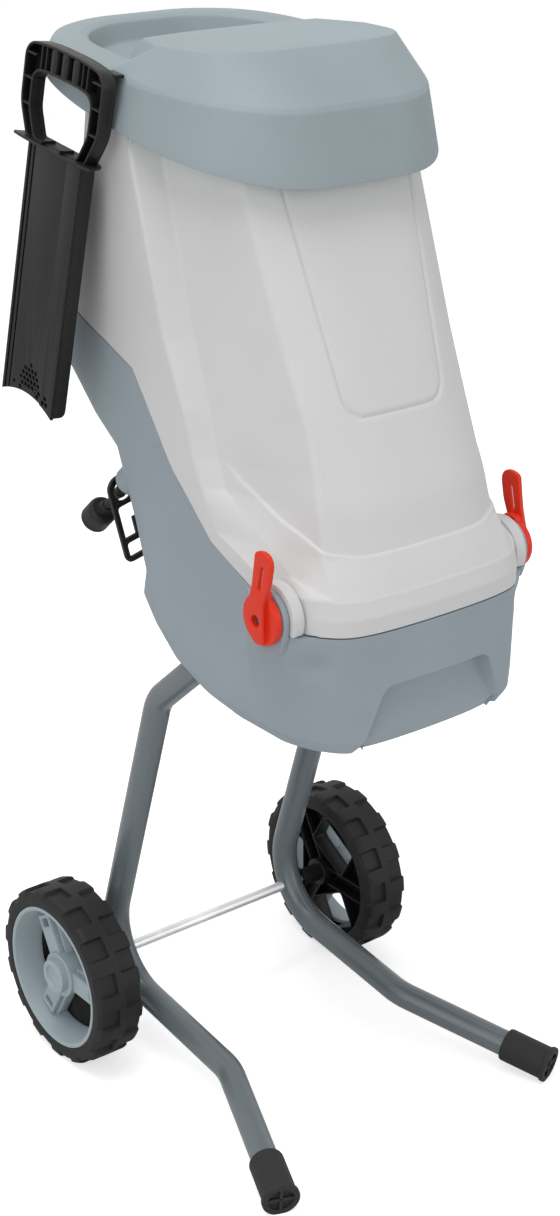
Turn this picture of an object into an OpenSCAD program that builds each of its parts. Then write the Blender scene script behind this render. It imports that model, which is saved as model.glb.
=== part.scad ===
// Electric garden shredder on a two-wheel tube stand, about 0.96 m tall.
// Millimetres, +Z up, the discharge front faces -Y, the floor is Z = 0.

/* [Stand] */
// Diameter of a wheel over its tread
wheel_d = 175; // [160:1:190]
// Width of a wheel
wheel_w = 48; // [40:1:52]
// Diameter of the wheel axle
axle_d = 10; // [8:0.5:12]
// Outside diameter of the leg tubes
tube_d = 25; // [22:0.5:27]
// Wall of the leg tubes
tube_wall = 1.5; // [1:0.25:2.5]
// Distance from the middle plane to a leg tube's upright part
leg_half = 104; // [100:0.5:105]
// Length of a spacer bush between a leg tube and its wheel
bush_len = 21.4; // [18:0.1:25]
// Outside diameter of a foot cap
foot_d = 32; // [30:0.5:34]
// Length of a foot cap
foot_len = 48; // [40:1:56]

/* [Body] */
// Wall of the moulded shells
wall = 3; // [2.5:0.25:4]
// Half width of the body at the seam between housing and hopper
body_half = 122; // [120:0.5:125]
// Gap between housing and hopper along the seam
seam_gap = 0.8; // [0.5:0.1:1.5]
// Thickness of the base plate
base_t = 3; // [2.5:0.25:4]

/* [Hopper] */
// Half width of the hood at its lower edge
hood_half = 145; // [142:0.5:148]
// Height of the hood's ridge above the floor
ridge_z = 962; // [958:1:968]
// Wall of the inner feed chute
chute_wall = 2.5; // [2:0.25:3.5]
// Diameter of the hopper hinge pins
hinge_d = 6; // [5:0.5:7]

/* [Cutter] */
// Tilt of the cutter axis towards the front, in degrees
cutter_tilt = 23.5; // [20:0.5:26]
// Diameter of the knife disc
disc_d = 190; // [170:1:200]
// Thickness of the knife disc
disc_t = 8; // [6:0.5:10]
// Diameter of the rotor shaft
shaft_d = 12; // [10:0.5:14]
// Outside diameter of the motor can
can_d = 92; // [84:1:96]
// Wall of the motor can
can_wall = 2.5; // [2:0.25:3]

/* [Levers] */
// Thickness of a locking lever
lever_t = 11.5; // [9:0.5:14]
// Diameter of a lever's pivot bolt
bolt_d = 10; // [8:0.5:11]
// Length of a lever's arm above its pivot
lever_len = 62; // [55:1:70]

/* [Plunger] */
// Width of the plunger's blade
blade_w = 79; // [70:1:90]
// Length of the plunger's blade
blade_len = 219; // [200:1:230]
// Depth of the plunger's channel
blade_depth = 15; // [12:1:18]

/* [Lead] */
// Diameter of the power lead
lead_d = 8; // [7:0.5:9]
// Diameter of the plug's body
plug_d = 27; // [26:1:32]

/* [Hidden] */
$fn = 48;
fit = 0.3;
running = 0.05;

housing_grey = [0.52, 0.57, 0.60];
cover_white = [0.86, 0.86, 0.86];
hood_grey = [0.58, 0.64, 0.66];
tube_grey = [0.36, 0.39, 0.41];
black = [0.14, 0.14, 0.15];
lever_red = [0.88, 0.22, 0.10];
steel = [0.75, 0.76, 0.78];
copper = [0.72, 0.45, 0.25];
hub_grey = [0.58, 0.64, 0.66];

// Outline helpers: cutting corners twice turns a control polygon into a smooth closed ring
function cut_corners(p) = [
    for (i = [0:len(p) - 1])
        let (a = p[i], b = p[(i + 1) % len(p)])
        each [0.75 * a + 0.25 * b, 0.25 * a + 0.75 * b]
];
function smooth(p, n = 2) = n == 0 ? p : smooth(cut_corners(p), n - 1);
function mirrored(p) = [-p[0], p[1], p[2]];
function both_sides(h) = concat(h, [for (i = [len(h) - 2:-1:1]) mirrored(h[i])]);
function unit(v) = v / norm(v);

// A closed skin through rings of equal length, the last ring joined to the first
module loft(rings) {
    m = len(rings[0]);
    n = len(rings);
    polyhedron(
        points = [for (r = rings) each r],
        faces = [
            for (i = [0:n - 1], j = [0:m - 1])
                let (a = i * m, b = ((i + 1) % n) * m, k = (j + 1) % m)
                each [[a + j, b + k, a + k], [a + j, b + j, b + k]]
        ],
        convexity = 10
    );
}

// A profile in the YZ plane carried across the whole width
module across(points, half = 220) {
    rotate([90, 0, 90])
        translate([0, 0, -half])
            linear_extrude(2 * half)
                polygon(points);
}

// A cylinder along X from x0 to x1
module rod_x(x0, x1, d, y, z) {
    translate([min(x0, x1), y, z])
        rotate([0, 90, 0])
            cylinder(d = d, h = abs(x1 - x0));
}

// The body's walls by height: front and rear are Y, the others X or Y of the nose's ridges
rear_round = 45;
front_line = [
    [418, -208], [430, -215], [540, -216], [557, -211], [585, -196],
    [618, -185], [680, -161], [735, -141], [860, -95], [930, -69]
];
rear_line = [
    [418, -47], [446, 18], [470, 46], [490, 62], [513, 57], [557, 72],
    [618, 94], [642, 126], [680, 162], [735, 146], [930, 100]
];
half_line = [
    [418, -12], [430, -3], [446, -1], [470, 0], [557, 0], [618, 2], [680, 5], [735, 7], [930, 16]
];
edge_x = [[418, 56], [430, 60], [557, 60], [618, 57], [680, 52], [735, 55], [930, 68]];
nose_x = [[418, 84], [430, 90], [446, 91], [585, 93], [618, 90], [642, 86], [680, 83], [930, 84]];
nose_y = [
    [418, -199], [430, -205], [540, -207], [557, -202], [585, -178],
    [642, -160], [680, -147], [735, -122], [860, -72], [930, -44]
];
valley_x = [[418, 101], [430, 109], [446, 111], [557, 112], [585, 111], [680, 110], [860, 112], [930, 114]];
valley_y = [
    [418, -176], [430, -183], [540, -185], [557, -181], [585, -130],
    [618, -72], [642, -60], [680, -50], [735, -31], [860, 2], [930, 18]
];
fold_y = [
    [418, -150], [430, -154], [540, -157], [557, -150], [585, -72],
    [618, -55], [642, -46], [680, -36], [735, -13], [860, 14], [930, 30]
];
edge_back = 2;
housing_levels = [418, 430, 446, 470, 490, 513, 540, 557, 585, 618, 642, 680, 735, 770];
cover_levels = [513, 540, 557, 571, 585, 600, 618, 642, 680, 735, 800, 860];
function body_half_at(z) = body_half + lookup(z, half_line);
function body_ring(z, inset) =
    let (
        half = body_half_at(z) - inset,
        front = lookup(z, front_line) + inset,
        rear = lookup(z, rear_line) - inset,
        lean = inset * sqrt(0.5)
    )
    smooth(both_sides([
        [0, front, z],
        [lookup(z, edge_x), front + edge_back, z],
        [lookup(z, nose_x) - lean, lookup(z, nose_y) + lean, z],
        [lookup(z, valley_x) - inset, lookup(z, valley_y), z],
        [half, lookup(z, fold_y), z],
        [half, rear - 2 * rear_round, z],
        [half, rear, z],
        [half - 2 * rear_round, rear, z],
        [0, rear, z]
    ]));
module body_shell(rings_out, rings_in) {
    n = len(rings_in);
    loft(concat(rings_out, [for (i = [n - 1:-1:0]) rings_in[i]]));
}

// The seam in side view, from the front over two bends to the rear, and the hood's tilted lower plane
seam_front = [-173, 526];
seam_low = [-6, 600];
seam_high = [24, 694];
seam_slope = 0.395;
seam_bend = 16;
hood_low_z = 870;
hood_low_slope = 0.25;
hood_datum_y = -86;
far = 300;
function hood_low(y) = hood_low_z + hood_low_slope * (y - hood_datum_y);
function rounded(a, b, c, r) =
    let (p = b + r * unit(a - b), q = b + r * unit(c - b))
    [for (t = [0:0.25:1]) (1 - t) ^ 2 * p + 2 * t * (1 - t) * b + t ^ 2 * q];
function seam_at_rear(y) = seam_high[1] + seam_slope * (y - seam_high[0]);
function seam_line(dz) = [
    for (p = concat(
        [[-far, seam_front[1]]],
        rounded([-far, seam_front[1]], seam_front, seam_low, seam_bend),
        rounded(seam_front, seam_low, seam_high, seam_bend),
        rounded(seam_low, seam_high, [far, seam_at_rear(far)], seam_bend),
        [[far, seam_at_rear(far)]]
    )) [p[0], p[1] + dz]
];
module above_seam() {
    difference() {
        across(concat(
            seam_line(seam_gap / 2),
            [[far, 2 * far + seam_high[1]], [-far, 2 * far + seam_high[1]]]
        ));
        rod_x(-far, far, bolt_d + 2, pivot_y, pivot_z);
    }
}
module below_seam() {
    difference() {
        across(concat(seam_line(-seam_gap / 2), [[far, 0], [-far, 0]]));
        rod_x(-far, far, bolt_d + 2 * running, pivot_y, pivot_z);
    }
}

// Cutter axis, from the middle of the knife disc's lower face
disc_y = -91;
disc_z = 553;
module at_disc() {
    translate([0, disc_y, disc_z])
        rotate([cutter_tilt, 0, 0])
            children();
}

// Lever pivots, outside the seam on both flanks
pivot_y = -154;
pivot_z = 538;
collar_t = 5;
collar_r = 28;
ear_gap = 0.5;
ear_t = 5.5;
ear_r = 24;
ear_in = body_half + collar_t + ear_gap;
ear_out = ear_in + ear_t;
lever_in = ear_out + ear_gap;
lever_out = lever_in + lever_t;
bolt_in = body_half - 12;

// Hopper hinge at the top of the housing's back
hinge_y = 153;
hinge_z = 748;
knuckle_d = 16;
knuckle_x = 60;
knuckle_w = 11;
ear_w = 10;
knuckle_gap = 0.5;
knuckle_pad = 22;
pad_gap = 2;
knuckle_depth = 13;
pin_reach = knuckle_w / 2 + knuckle_gap + ear_w;

// Leg tubes: corner points on the left flank, and the bend radius at each inner corner
axle_y = 114;
axle_z = wheel_d / 2;
wheel_inner = leg_half + tube_d / 2 + 2 * fit + bush_len;
foot_splay = 56.7;
foot_tip_x = leg_half + foot_splay;
foot_tip_y = -206.5;
foot_flange = 1.5;
foot_flat = 0.4;
foot_tip_z = foot_d / 2 + foot_flange - foot_flat - 0.3;
leg_top = [leg_half, -67, 480];
leg_shoulder = [leg_half, 42, 384];
leg_heel = [leg_half, 143.4, axle_z - 20.7];
leg_ankle = [leg_half, -58.8, 42.4];
leg_tip = [foot_tip_x, foot_tip_y, foot_tip_z];
leg_path = [leg_top, leg_shoulder, leg_heel, leg_ankle, leg_tip];
leg_bends = [0, 45, 63, 60, 0];
socket_wall = 3.5;
socket_len = 45;
socket_rib = 4;
leg_screw_at = [14, 32];
leg_screw_d = 5;

// Turns the Z axis onto the line from p to q and starts it at p
module along(p, q) {
    d = unit(q - p);
    translate(p)
        rotate([0, acos(d[2]), atan2(d[1], d[0])])
            children();
}
function bend_angle(a, b, c) = acos(unit(b - a) * unit(c - b));
function bend_cut(a, b, c, r) = r * tan(bend_angle(a, b, c) / 2);

// A round tube along straight runs joined by bends, each a little into its neighbours
bend_over = 2;
bend_swell = 0.15;
module bent_tube(path, bends, d, t) {
    n = len(path);
    cuts = [
        for (i = [0:n - 1])
            i == 0 || i == n - 1 ? 0 : bend_cut(path[i - 1], path[i], path[i + 1], bends[i])
    ];
    for (i = [0:n - 2]) {
        dir = unit(path[i + 1] - path[i]);
        p = path[i] + cuts[i] * dir;
        q = path[i + 1] - cuts[i + 1] * dir;
        along(p, q)
            linear_extrude(norm(q - p))
                tube_ring(d, t);
    }
    for (i = [1:n - 2]) {
        d1 = unit(path[i] - path[i - 1]);
        d2 = unit(path[i + 1] - path[i]);
        turn = bend_angle(path[i - 1], path[i], path[i + 1]);
        middle = path[i] + unit(d2 - d1) * bends[i] / cos(turn / 2);
        e1 = unit(path[i] - cuts[i] * d1 - middle);
        e3 = cross(e1, d1);
        multmatrix([
            [e1[0], d1[0], e3[0], middle[0]],
            [e1[1], d1[1], e3[1], middle[1]],
            [e1[2], d1[2], e3[2], middle[2]],
            [0, 0, 0, 1]
        ])
            rotate(-bend_over)
                rotate_extrude(angle = turn + 2 * bend_over, $fn = 64)
                    translate([bends[i], 0])
                        tube_ring(d + 2 * bend_swell, t + 2 * bend_swell);
    }
}
module tube_ring(d, t) {
    difference() {
        circle(d = d);
        circle(d = d - 2 * t);
    }
}

// Each side of the machine: 1 is +X and -1 is -X, the flank with the plunger
module on_side(side) {
    if (side > 0)
        children();
    else
        mirror([1, 0, 0])
            children();
}
module both_flanks() {
    for (side = [-1, 1])
        on_side(side)
            children();
}

// Lower housing

base_z = housing_levels[0];
deflector_y = -150;
deflector_half = body_half - 30;
deflector_t = 3;
base_screw_at = [[body_half - 44, -118], [body_half - 50, -62]];
rib_end = body_half - wall + 1;
boss_d = 12;
boss_h = 30;
boss_rib = 4;
screw_d = 4;
head_d = 8;
head_h = 2.5;
rail_w = 16;
rail_t = 6;
rail_len = 130;
plate_z = -18;
plate_t = 4;
plate_screw_y = [-45, 45];
plate_screw_x = body_half - 14;
shaft_hole_d = 40;
shield_screw_r = 34;
plate_half = body_half - wall - 3;
plate_front = 62;
gland_x = -101;
gland_y = 95;
gland_z = 569;
gland_tilt = 42;
pad_end = -15;
gland_d = 14;
pad_d = 27;
pad_len = 30;
ear_foot = 520;
ear_front = 16;
ear_back = 20;
fairing_z = [440, 500];
fairing_in = plate_half + 1;
module leg_sockets() {
    both_flanks()
        along(leg_top, leg_shoulder)
            translate([0, 0, -socket_wall]) {
                cylinder(d = tube_d + 2 * (fit + socket_wall), h = socket_len + socket_wall);
                translate([-socket_rib / 2, leg_half - rib_end, 0])
                    cube([socket_rib, rib_end - leg_half, socket_len + socket_wall]);
            }
}
module leg_bores() {
    both_flanks()
        along(leg_top, leg_shoulder) {
            cylinder(d = tube_d + 2 * fit, h = 2 * socket_len);
            for (s = leg_screw_at)
                translate([0, tube_d, s])
                    rotate([90, 0, 0])
                        cylinder(d = leg_screw_d + 2 * fit, h = tube_d);
        }
}
module motor_rails() {
    both_flanks()
        at_disc()
            translate([body_half - wall - rail_w + 1, -rail_len / 2, plate_z - rail_t])
                cube([rail_w, rail_len, rail_t]);
}
module lever_ears() {
    both_flanks() {
        rod_x(ear_in, ear_out, 2 * ear_r, pivot_y, pivot_z);
        translate([0, pivot_y + ear_back, 0])
            rotate([90, 0, 0])
                linear_extrude(ear_front + ear_back)
                    polygon([
                        [ear_in, pivot_z], [ear_in, ear_foot], [fairing_in, ear_foot],
                        [fairing_in, fairing_z[0]], [body_half - 1, fairing_z[0]],
                        [ear_out, fairing_z[1]], [ear_out, pivot_z]
                    ]);
    }
}
module housing_knuckles() {
    both_flanks()
        for (x = [
            knuckle_x - knuckle_w / 2 - knuckle_gap - ear_w,
            knuckle_x + knuckle_w / 2 + knuckle_gap
        ]) {
            rod_x(x, x + ear_w, knuckle_d, hinge_y, hinge_z);
            translate([x, hinge_y - knuckle_d / 2, hinge_z - knuckle_pad - pad_gap])
                cube([ear_w, knuckle_d / 2, knuckle_pad]);
        }
}
module base_bosses() {
    both_flanks()
        for (p = base_screw_at) {
            translate([p[0], p[1], base_z + base_t])
                cylinder(d = boss_d, h = boss_h);
            translate([p[0], p[1] - boss_rib / 2, base_z + base_t + boss_h / 2])
                cube([rib_end - p[0], boss_rib, boss_h / 2]);
        }
}
module at_gland() {
    translate([gland_x, gland_y, gland_z])
        rotate([-90 - gland_tilt, 0, 0])
            children();
}
module gland_pad() {
    at_gland()
        translate([0, 0, pad_end - pad_len])
            cylinder(d = pad_d, h = pad_len);
}
module gland_hole() {
    at_gland()
        translate([0, 0, pad_end - pad_len - 10])
            cylinder(d = gland_d + 2 * fit, h = pad_len + 20);
}
module housing_shell() {
    difference() {
        intersection() {
            body_shell(
                [for (z = housing_levels) body_ring(z, 0)],
                [for (z = housing_levels) body_ring(z, wall)]
            );
            below_seam();
        }
        leg_bores();
        gland_hole();
    }
}
module housing_fittings() {
    difference() {
        union() {
            leg_sockets();
            motor_rails();
            lever_ears();
            housing_knuckles();
            base_bosses();
            gland_pad();
        }
        leg_bores();
        gland_hole();
        both_flanks() {
            rod_x(bolt_in, ear_out + 1, bolt_d + 2 * running, pivot_y, pivot_z);
            rod_x(
                knuckle_x - pin_reach - 2, knuckle_x + pin_reach + 2, hinge_d + 2 * running,
                hinge_y, hinge_z
            );
            for (p = base_screw_at)
                translate([p[0], p[1], base_z])
                    cylinder(d = screw_d, h = boss_h - 4);
            at_disc()
                for (y = plate_screw_y)
                    translate([plate_screw_x, y, plate_z - 2 * rail_t])
                        cylinder(d = screw_d, h = 3 * rail_t);
        }
    }
}
module motor_housing() {
    color(housing_grey) {
        housing_shell();
        housing_fittings();
    }
}
module base_plate() {
    color(black)
        translate([0, 0, base_z])
            difference() {
                linear_extrude(base_t)
                    intersection() {
                        polygon([for (p = body_ring(base_z, wall + fit)) [p[0], p[1]]]);
                        translate([-body_half, deflector_y])
                            square([2 * body_half, far]);
                    }
                both_flanks()
                    for (p = base_screw_at)
                        translate([p[0], p[1], -1])
                            cylinder(d = screw_d + 2 * fit, h = base_t + 2);
            }
}
module screw(d, len) {
    cylinder(d = d - 2 * running, h = len);
    translate([0, 0, -head_h])
        cylinder(d = head_d, h = head_h);
}
module base_screws() {
    color(steel)
        both_flanks()
            for (p = base_screw_at)
                translate([p[0], p[1], base_z])
                    screw(screw_d, boss_h - 6);
}
module chip_deflector() {
    top = disc_z - plate_front * sin(cutter_tilt) + (plate_z - rail_t) * cos(cutter_tilt);
    color(black)
        translate([-deflector_half, deflector_y, base_z + base_t])
            cube([2 * deflector_half, deflector_t, top - base_z - base_t - fit]);
}
module motor_plate() {
    color(steel)
        at_disc()
            difference() {
                translate([-plate_half, -plate_front, plate_z])
                    cube([2 * plate_half, plate_front + rail_len / 2, plate_t]);
                translate([0, 0, plate_z - 1])
                    cylinder(d = shaft_hole_d, h = plate_t + 2);
                both_flanks()
                    for (y = plate_screw_y)
                        translate([plate_screw_x, y, plate_z - 1])
                            cylinder(d = screw_d + 2 * fit, h = plate_t + 2);
                for (a = [45:90:315])
                    rotate(a)
                        translate([shield_screw_r, 0, plate_z - 1])
                            cylinder(d = screw_d + 2 * fit, h = plate_t + 2);
            }
}
module plate_screws() {
    color(steel)
        at_disc() {
            both_flanks()
                for (y = plate_screw_y)
                    translate([plate_screw_x, y, plate_z + plate_t])
                        rotate([180, 0, 0])
                            screw(screw_d, plate_t + rail_t);
            for (a = [45:90:315])
                rotate(a)
                    translate([shield_screw_r, 0, plate_z + plate_t])
                        rotate([180, 0, 0])
                            screw(screw_d, plate_t + shield_t);
        }
}

// Motor, under the plate, along the cutter axis

can_len = 88;
can_end = plate_z - can_len;
shield_t = 4;
bearing_a = [32, 12, 10];
bearing_b = [22, 8, 7];
stator_z = [-82, -48];
stator_bore = 52;
air_gap = 0.8;
comm_z = [-96, -86];
comm_d = 30;
fan_z = [-44, -33];
fan_d = 74;
fan_hub_d = 26;
blade_t = 1.6;
module motor_can() {
    color([0.30, 0.31, 0.33])
        at_disc()
            difference() {
                translate([0, 0, can_end])
                    cylinder(d = can_d, h = can_len - shield_t);
                difference() {
                    translate([0, 0, can_end + can_wall])
                        cylinder(d = can_d - 2 * can_wall, h = can_len);
                    translate([0, 0, can_end])
                        cylinder(d = bearing_b[0] + 8, h = can_wall + bearing_b[2]);
                }
                translate([0, 0, can_end + can_wall])
                    cylinder(d = bearing_b[0], h = can_len);
            }
}
module end_shield() {
    color(steel)
        at_disc()
            difference() {
                union() {
                    translate([0, 0, plate_z - shield_t])
                        cylinder(d = can_d, h = shield_t);
                    translate([0, 0, plate_z - 2 - bearing_a[2]])
                        cylinder(d = bearing_a[0] + 8, h = bearing_a[2]);
                }
                translate([0, 0, plate_z - 2 - bearing_a[2] - 1])
                    cylinder(d = bearing_a[0], h = bearing_a[2] + 1);
                translate([0, 0, plate_z - 3])
                    cylinder(d = shaft_d + 6, h = 4);
                for (a = [45:90:315])
                    rotate(a)
                        translate([shield_screw_r, 0, plate_z - shield_t - 1])
                            cylinder(d = screw_d, h = shield_t + 2);
            }
}
module stator() {
    color(copper)
        at_disc()
            translate([0, 0, stator_z[0]])
                linear_extrude(stator_z[1] - stator_z[0])
                    difference() {
                        circle(d = can_d - 2 * can_wall - 2 * fit);
                        circle(d = stator_bore);
                    }
}
module brush_holders() {
    reach = can_d / 2 - can_wall - fit;
    color(copper)
        at_disc()
            for (side = [-1, 1])
                on_side(side)
                    translate([comm_d / 2 + fit, -4, comm_z[0] + 1])
                        cube([reach - comm_d / 2 - fit, 8, 8]);
}
module bearing(size, z) {
    at_disc()
        translate([0, 0, z])
            linear_extrude(size[2])
                difference() {
                    circle(d = size[0] - 2 * running);
                    circle(d = size[1]);
                }
}
module upper_bearing() {
    color(steel)
        bearing([bearing_a[0], shaft_d, bearing_a[2]], plate_z - 2 - bearing_a[2]);
}
module lower_bearing() {
    color(steel)
        bearing(bearing_b, can_end + can_wall);
}
module rotor_shaft() {
    color(steel)
        at_disc() {
            translate([0, 0, can_end + can_wall + 0.5])
                cylinder(d = bearing_b[1] - 2 * running, h = bearing_b[2]);
            translate([0, 0, can_end + can_wall + bearing_b[2] + 0.5])
                cylinder(d = shaft_d - 2 * running, h = -(can_end + can_wall + bearing_b[2] + 0.5));
        }
}
module on_shaft(d, z) {
    at_disc()
        translate([0, 0, z[0]])
            linear_extrude(z[1] - z[0])
                difference() {
                    circle(d = d);
                    circle(d = shaft_d);
                }
}
module rotor_core() {
    color(steel)
        on_shaft(stator_bore - 2 * air_gap, stator_z);
}
module commutator() {
    color(copper)
        on_shaft(comm_d, comm_z);
}
module cooling_fan() {
    color(black)
        at_disc()
            difference() {
                union() {
                    translate([0, 0, fan_z[0]])
                        cylinder(d = fan_hub_d, h = fan_z[1] - fan_z[0]);
                    translate([0, 0, fan_z[0]])
                        cylinder(d = fan_d, h = 2);
                    for (a = [0:40:320])
                        rotate(a)
                            translate([fan_hub_d / 2 - 2, -blade_t / 2, fan_z[0] + 1])
                                cube([fan_d / 2 - fan_hub_d / 2 + 1, blade_t, fan_z[1] - fan_z[0] - 1]);
                }
                translate([0, 0, fan_z[0] - 1])
                    cylinder(d = shaft_d, h = 20);
            }
}

// Cutter

knife_len = 84;
knife_w = 44;
knife_t = 5;
knife_x = 48;
knife_screw_at = [-14, 14];
slot_len = 68;
chip_slot = 12;
slot_gap = 2;
washer_d = 18;
washer_t = 2;
module disc_slots() {
    for (a = [0, 180])
        rotate(a)
            translate([knife_x - slot_len / 2, -knife_w / 2 - slot_gap - chip_slot, -1])
                cube([slot_len, chip_slot, disc_t + 2]);
}
module knife_disc() {
    color(steel)
        at_disc()
            difference() {
                union() {
                    cylinder(d = disc_d, h = disc_t, $fn = 96);
                    for (a = [90, 270])
                        rotate(a)
                            translate([40, -2, -10])
                                cube([disc_d / 2 - 44, 4, 11]);
                }
                disc_slots();
                translate([0, 0, -1])
                    cylinder(d = screw_d * 2, h = disc_t + 2);
                for (a = [0, 180], x = knife_screw_at)
                    rotate(a)
                        translate([knife_x + x, 0, -1])
                            cylinder(d = screw_d, h = disc_t + 2);
            }
}
module knife(a) {
    color([0.82, 0.83, 0.85])
        at_disc()
            rotate(a)
                translate([knife_x, 0, disc_t])
                    difference() {
                        translate([-knife_len / 2 + 4, 0, 0])
                            rotate([90, 0, 90])
                                linear_extrude(knife_len - 8)
                                    polygon([
                                        [-knife_w / 2, 0], [knife_w / 2, 0], [knife_w / 2, knife_t],
                                        [knife_t - knife_w / 2, knife_t]
                                    ]);
                        for (x = knife_screw_at)
                            translate([x, 0, -1])
                                cylinder(d = screw_d + 2 * fit, h = knife_t + 2);
                    }
}
module knife_a() {
    knife(0);
}
module knife_b() {
    knife(180);
}
module knife_screws() {
    color([0.45, 0.46, 0.48])
        at_disc()
            for (a = [0, 180], x = knife_screw_at)
                rotate(a)
                    translate([knife_x + x, 0, disc_t + knife_t])
                        rotate([180, 0, 0])
                            screw(screw_d, disc_t + knife_t);
}
module disc_bolt() {
    color([0.45, 0.46, 0.48])
        at_disc()
            translate([0, 0, disc_t]) {
                cylinder(d = washer_d, h = washer_t);
                translate([0, 0, washer_t])
                    cylinder(d = washer_d - 3, h = 6, $fn = 6);
                translate([0, 0, -disc_t])
                    cylinder(d = screw_d * 2 - 2 * running, h = disc_t + 1);
            }
}

// Switch, guard contact, lead and cord hook on the housing's back

switch_z = [680, 735];
switch_low = lookup(switch_z[0], rear_line);
switch_high = lookup(switch_z[1], rear_line);
switch_lean = atan2(switch_low - switch_high, switch_z[1] - switch_z[0]);
switch_size = [84, 22, 44];
button_d = 18;
button_x = 20;
button_out = 6;
button_travel = 3;
reset_d = 9;
button_in = 8;
module at_switch() {
    translate([0, (switch_low + switch_high) / 2 + running, (switch_z[0] + switch_z[1]) / 2])
        rotate([switch_lean, 0, 0])
            children();
}
module rod_out(x, z, d, y0, y1) {
    translate([x, y0, z])
        rotate([-90, 0, 0])
            cylinder(d = d, h = y1 - y0);
}
module switch_box() {
    color(black)
        at_switch()
            difference() {
                translate([-switch_size[0] / 2, 0, -switch_size[2] / 2])
                    cube(switch_size);
                for (x = [-button_x, button_x])
                    rod_out(x, 6, button_d + 2 * fit, button_in, switch_size[1] + 1);
                rod_out(0, -14, reset_d + 2 * fit, button_in, switch_size[1] + 1);
            }
}
module button(x, z, d, rgb) {
    start = button_in + button_travel + 1;
    color(rgb)
        at_switch()
            rod_out(x, z, d, start, switch_size[1] + button_out);
}
module start_button() {
    button(-button_x, 6, button_d, [0.15, 0.55, 0.25]);
}
module stop_button() {
    button(button_x, 6, button_d, [0.80, 0.12, 0.10]);
}
module reset_button() {
    button(0, -14, reset_d, black);
}
module interlock_switch() {
    color(black)
        at_switch()
            translate([-12, -wall - fit - 14, -12])
                cube([24, 14, 30]);
}
gland_in = -33;
gland_rim_d = 24;
gland_rim_t = 3;
neck_d = 11;
neck_end = 6;
gland_tip_d = 9.6;
gland_end = 10;
lead_end = 33;
plug_len = 30;
plug_neck = 7;
plug_wall = 2;
plug_cup = 17;
pin_gap = 18;
pin_d = 4;
pin_root = 4;
pin_len = 15;
module lead_gland() {
    color(black)
        at_gland()
            rotate_extrude()
                polygon([
                    [lead_d / 2 + fit, gland_in], [gland_d / 2, gland_in], [gland_d / 2, pad_end],
                    [gland_rim_d / 2, pad_end], [gland_rim_d / 2, pad_end + gland_rim_t],
                    [neck_d / 2, pad_end + gland_rim_t], [neck_d / 2, neck_end],
                    [gland_tip_d / 2, gland_end], [lead_d / 2 + fit, gland_end]
                ]);
}
module power_lead() {
    start = gland_in + 2;
    color(black)
        at_gland()
            translate([0, 0, start])
                cylinder(d = lead_d, h = lead_end - start);
}
module at_plug() {
    at_gland()
        translate([0, 0, lead_end])
            children();
}
module plug() {
    bottom = plug_len - plug_cup;
    color(black)
        at_plug()
            difference() {
                rotate_extrude()
                    polygon([
                        [0, running], [lead_d / 2 + 1.5, running], [lead_d / 2 + 2.5, plug_neck],
                        [plug_d / 2 - 2, plug_neck + 1], [plug_d / 2, plug_neck + 4],
                        [plug_d / 2, plug_len], [plug_d / 2 - plug_wall, plug_len],
                        [plug_d / 2 - plug_wall, bottom], [0, bottom]
                    ]);
                for (x = [-pin_gap / 2, pin_gap / 2])
                    translate([x, 0, bottom - pin_root])
                        cylinder(d = pin_d + 2 * running, h = 2 * pin_root);
            }
}
module plug_pins() {
    color(steel)
        at_plug()
            for (x = [-pin_gap / 2, pin_gap / 2])
                translate([x, 0, plug_len - plug_cup - pin_root])
                    cylinder(d = pin_d, h = pin_root + pin_len);
}
hook_y = 93;
hook_t = 4;
hook_tilt = 14;
hook_foot = -70;
hook_half = 15;
hook_rim = 5;
hook_bore = 20;
eye_low = -46;
eye_high = -14;
loop_high = -51;
tongue = [2, 7, 18];
hook_drop = hook_bore / 2 - neck_d / 2 / cos(gland_tilt) - hook_t / 2 * tan(gland_tilt) - fit;
module rounded_slot(x0, x1, y0, y1, r) {
    translate([x0 + r, y0])
        square([x1 - x0 - 2 * r, y1 - y0]);
    translate([x0, y0 + r])
        square([x1 - x0, y1 - y0 - 2 * r]);
    for (x = [x0 + r, x1 - r], y = [y0 + r, y1 - r])
        translate([x, y])
            circle(r = r);
}
module cord_hook() {
    eye = hook_half - hook_rim;
    color(black)
        translate([gland_x, hook_y + hook_t, gland_z - hook_drop])
            rotate([90, -hook_tilt, 0])
                linear_extrude(hook_t)
                    difference() {
                        union() {
                            circle(d = hook_bore + 2 * hook_rim);
                            rounded_slot(-hook_half, hook_half, hook_foot, 2, 8);
                        }
                        circle(d = hook_bore);
                        difference() {
                            rounded_slot(-eye, eye, eye_low, eye_high, 3);
                            translate([tongue[0], eye_low - 1])
                                square([tongue[1], tongue[2]]);
                        }
                        rounded_slot(-eye, eye, hook_foot + hook_rim, loop_high, 3);
                    }
}

// Stand

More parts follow.
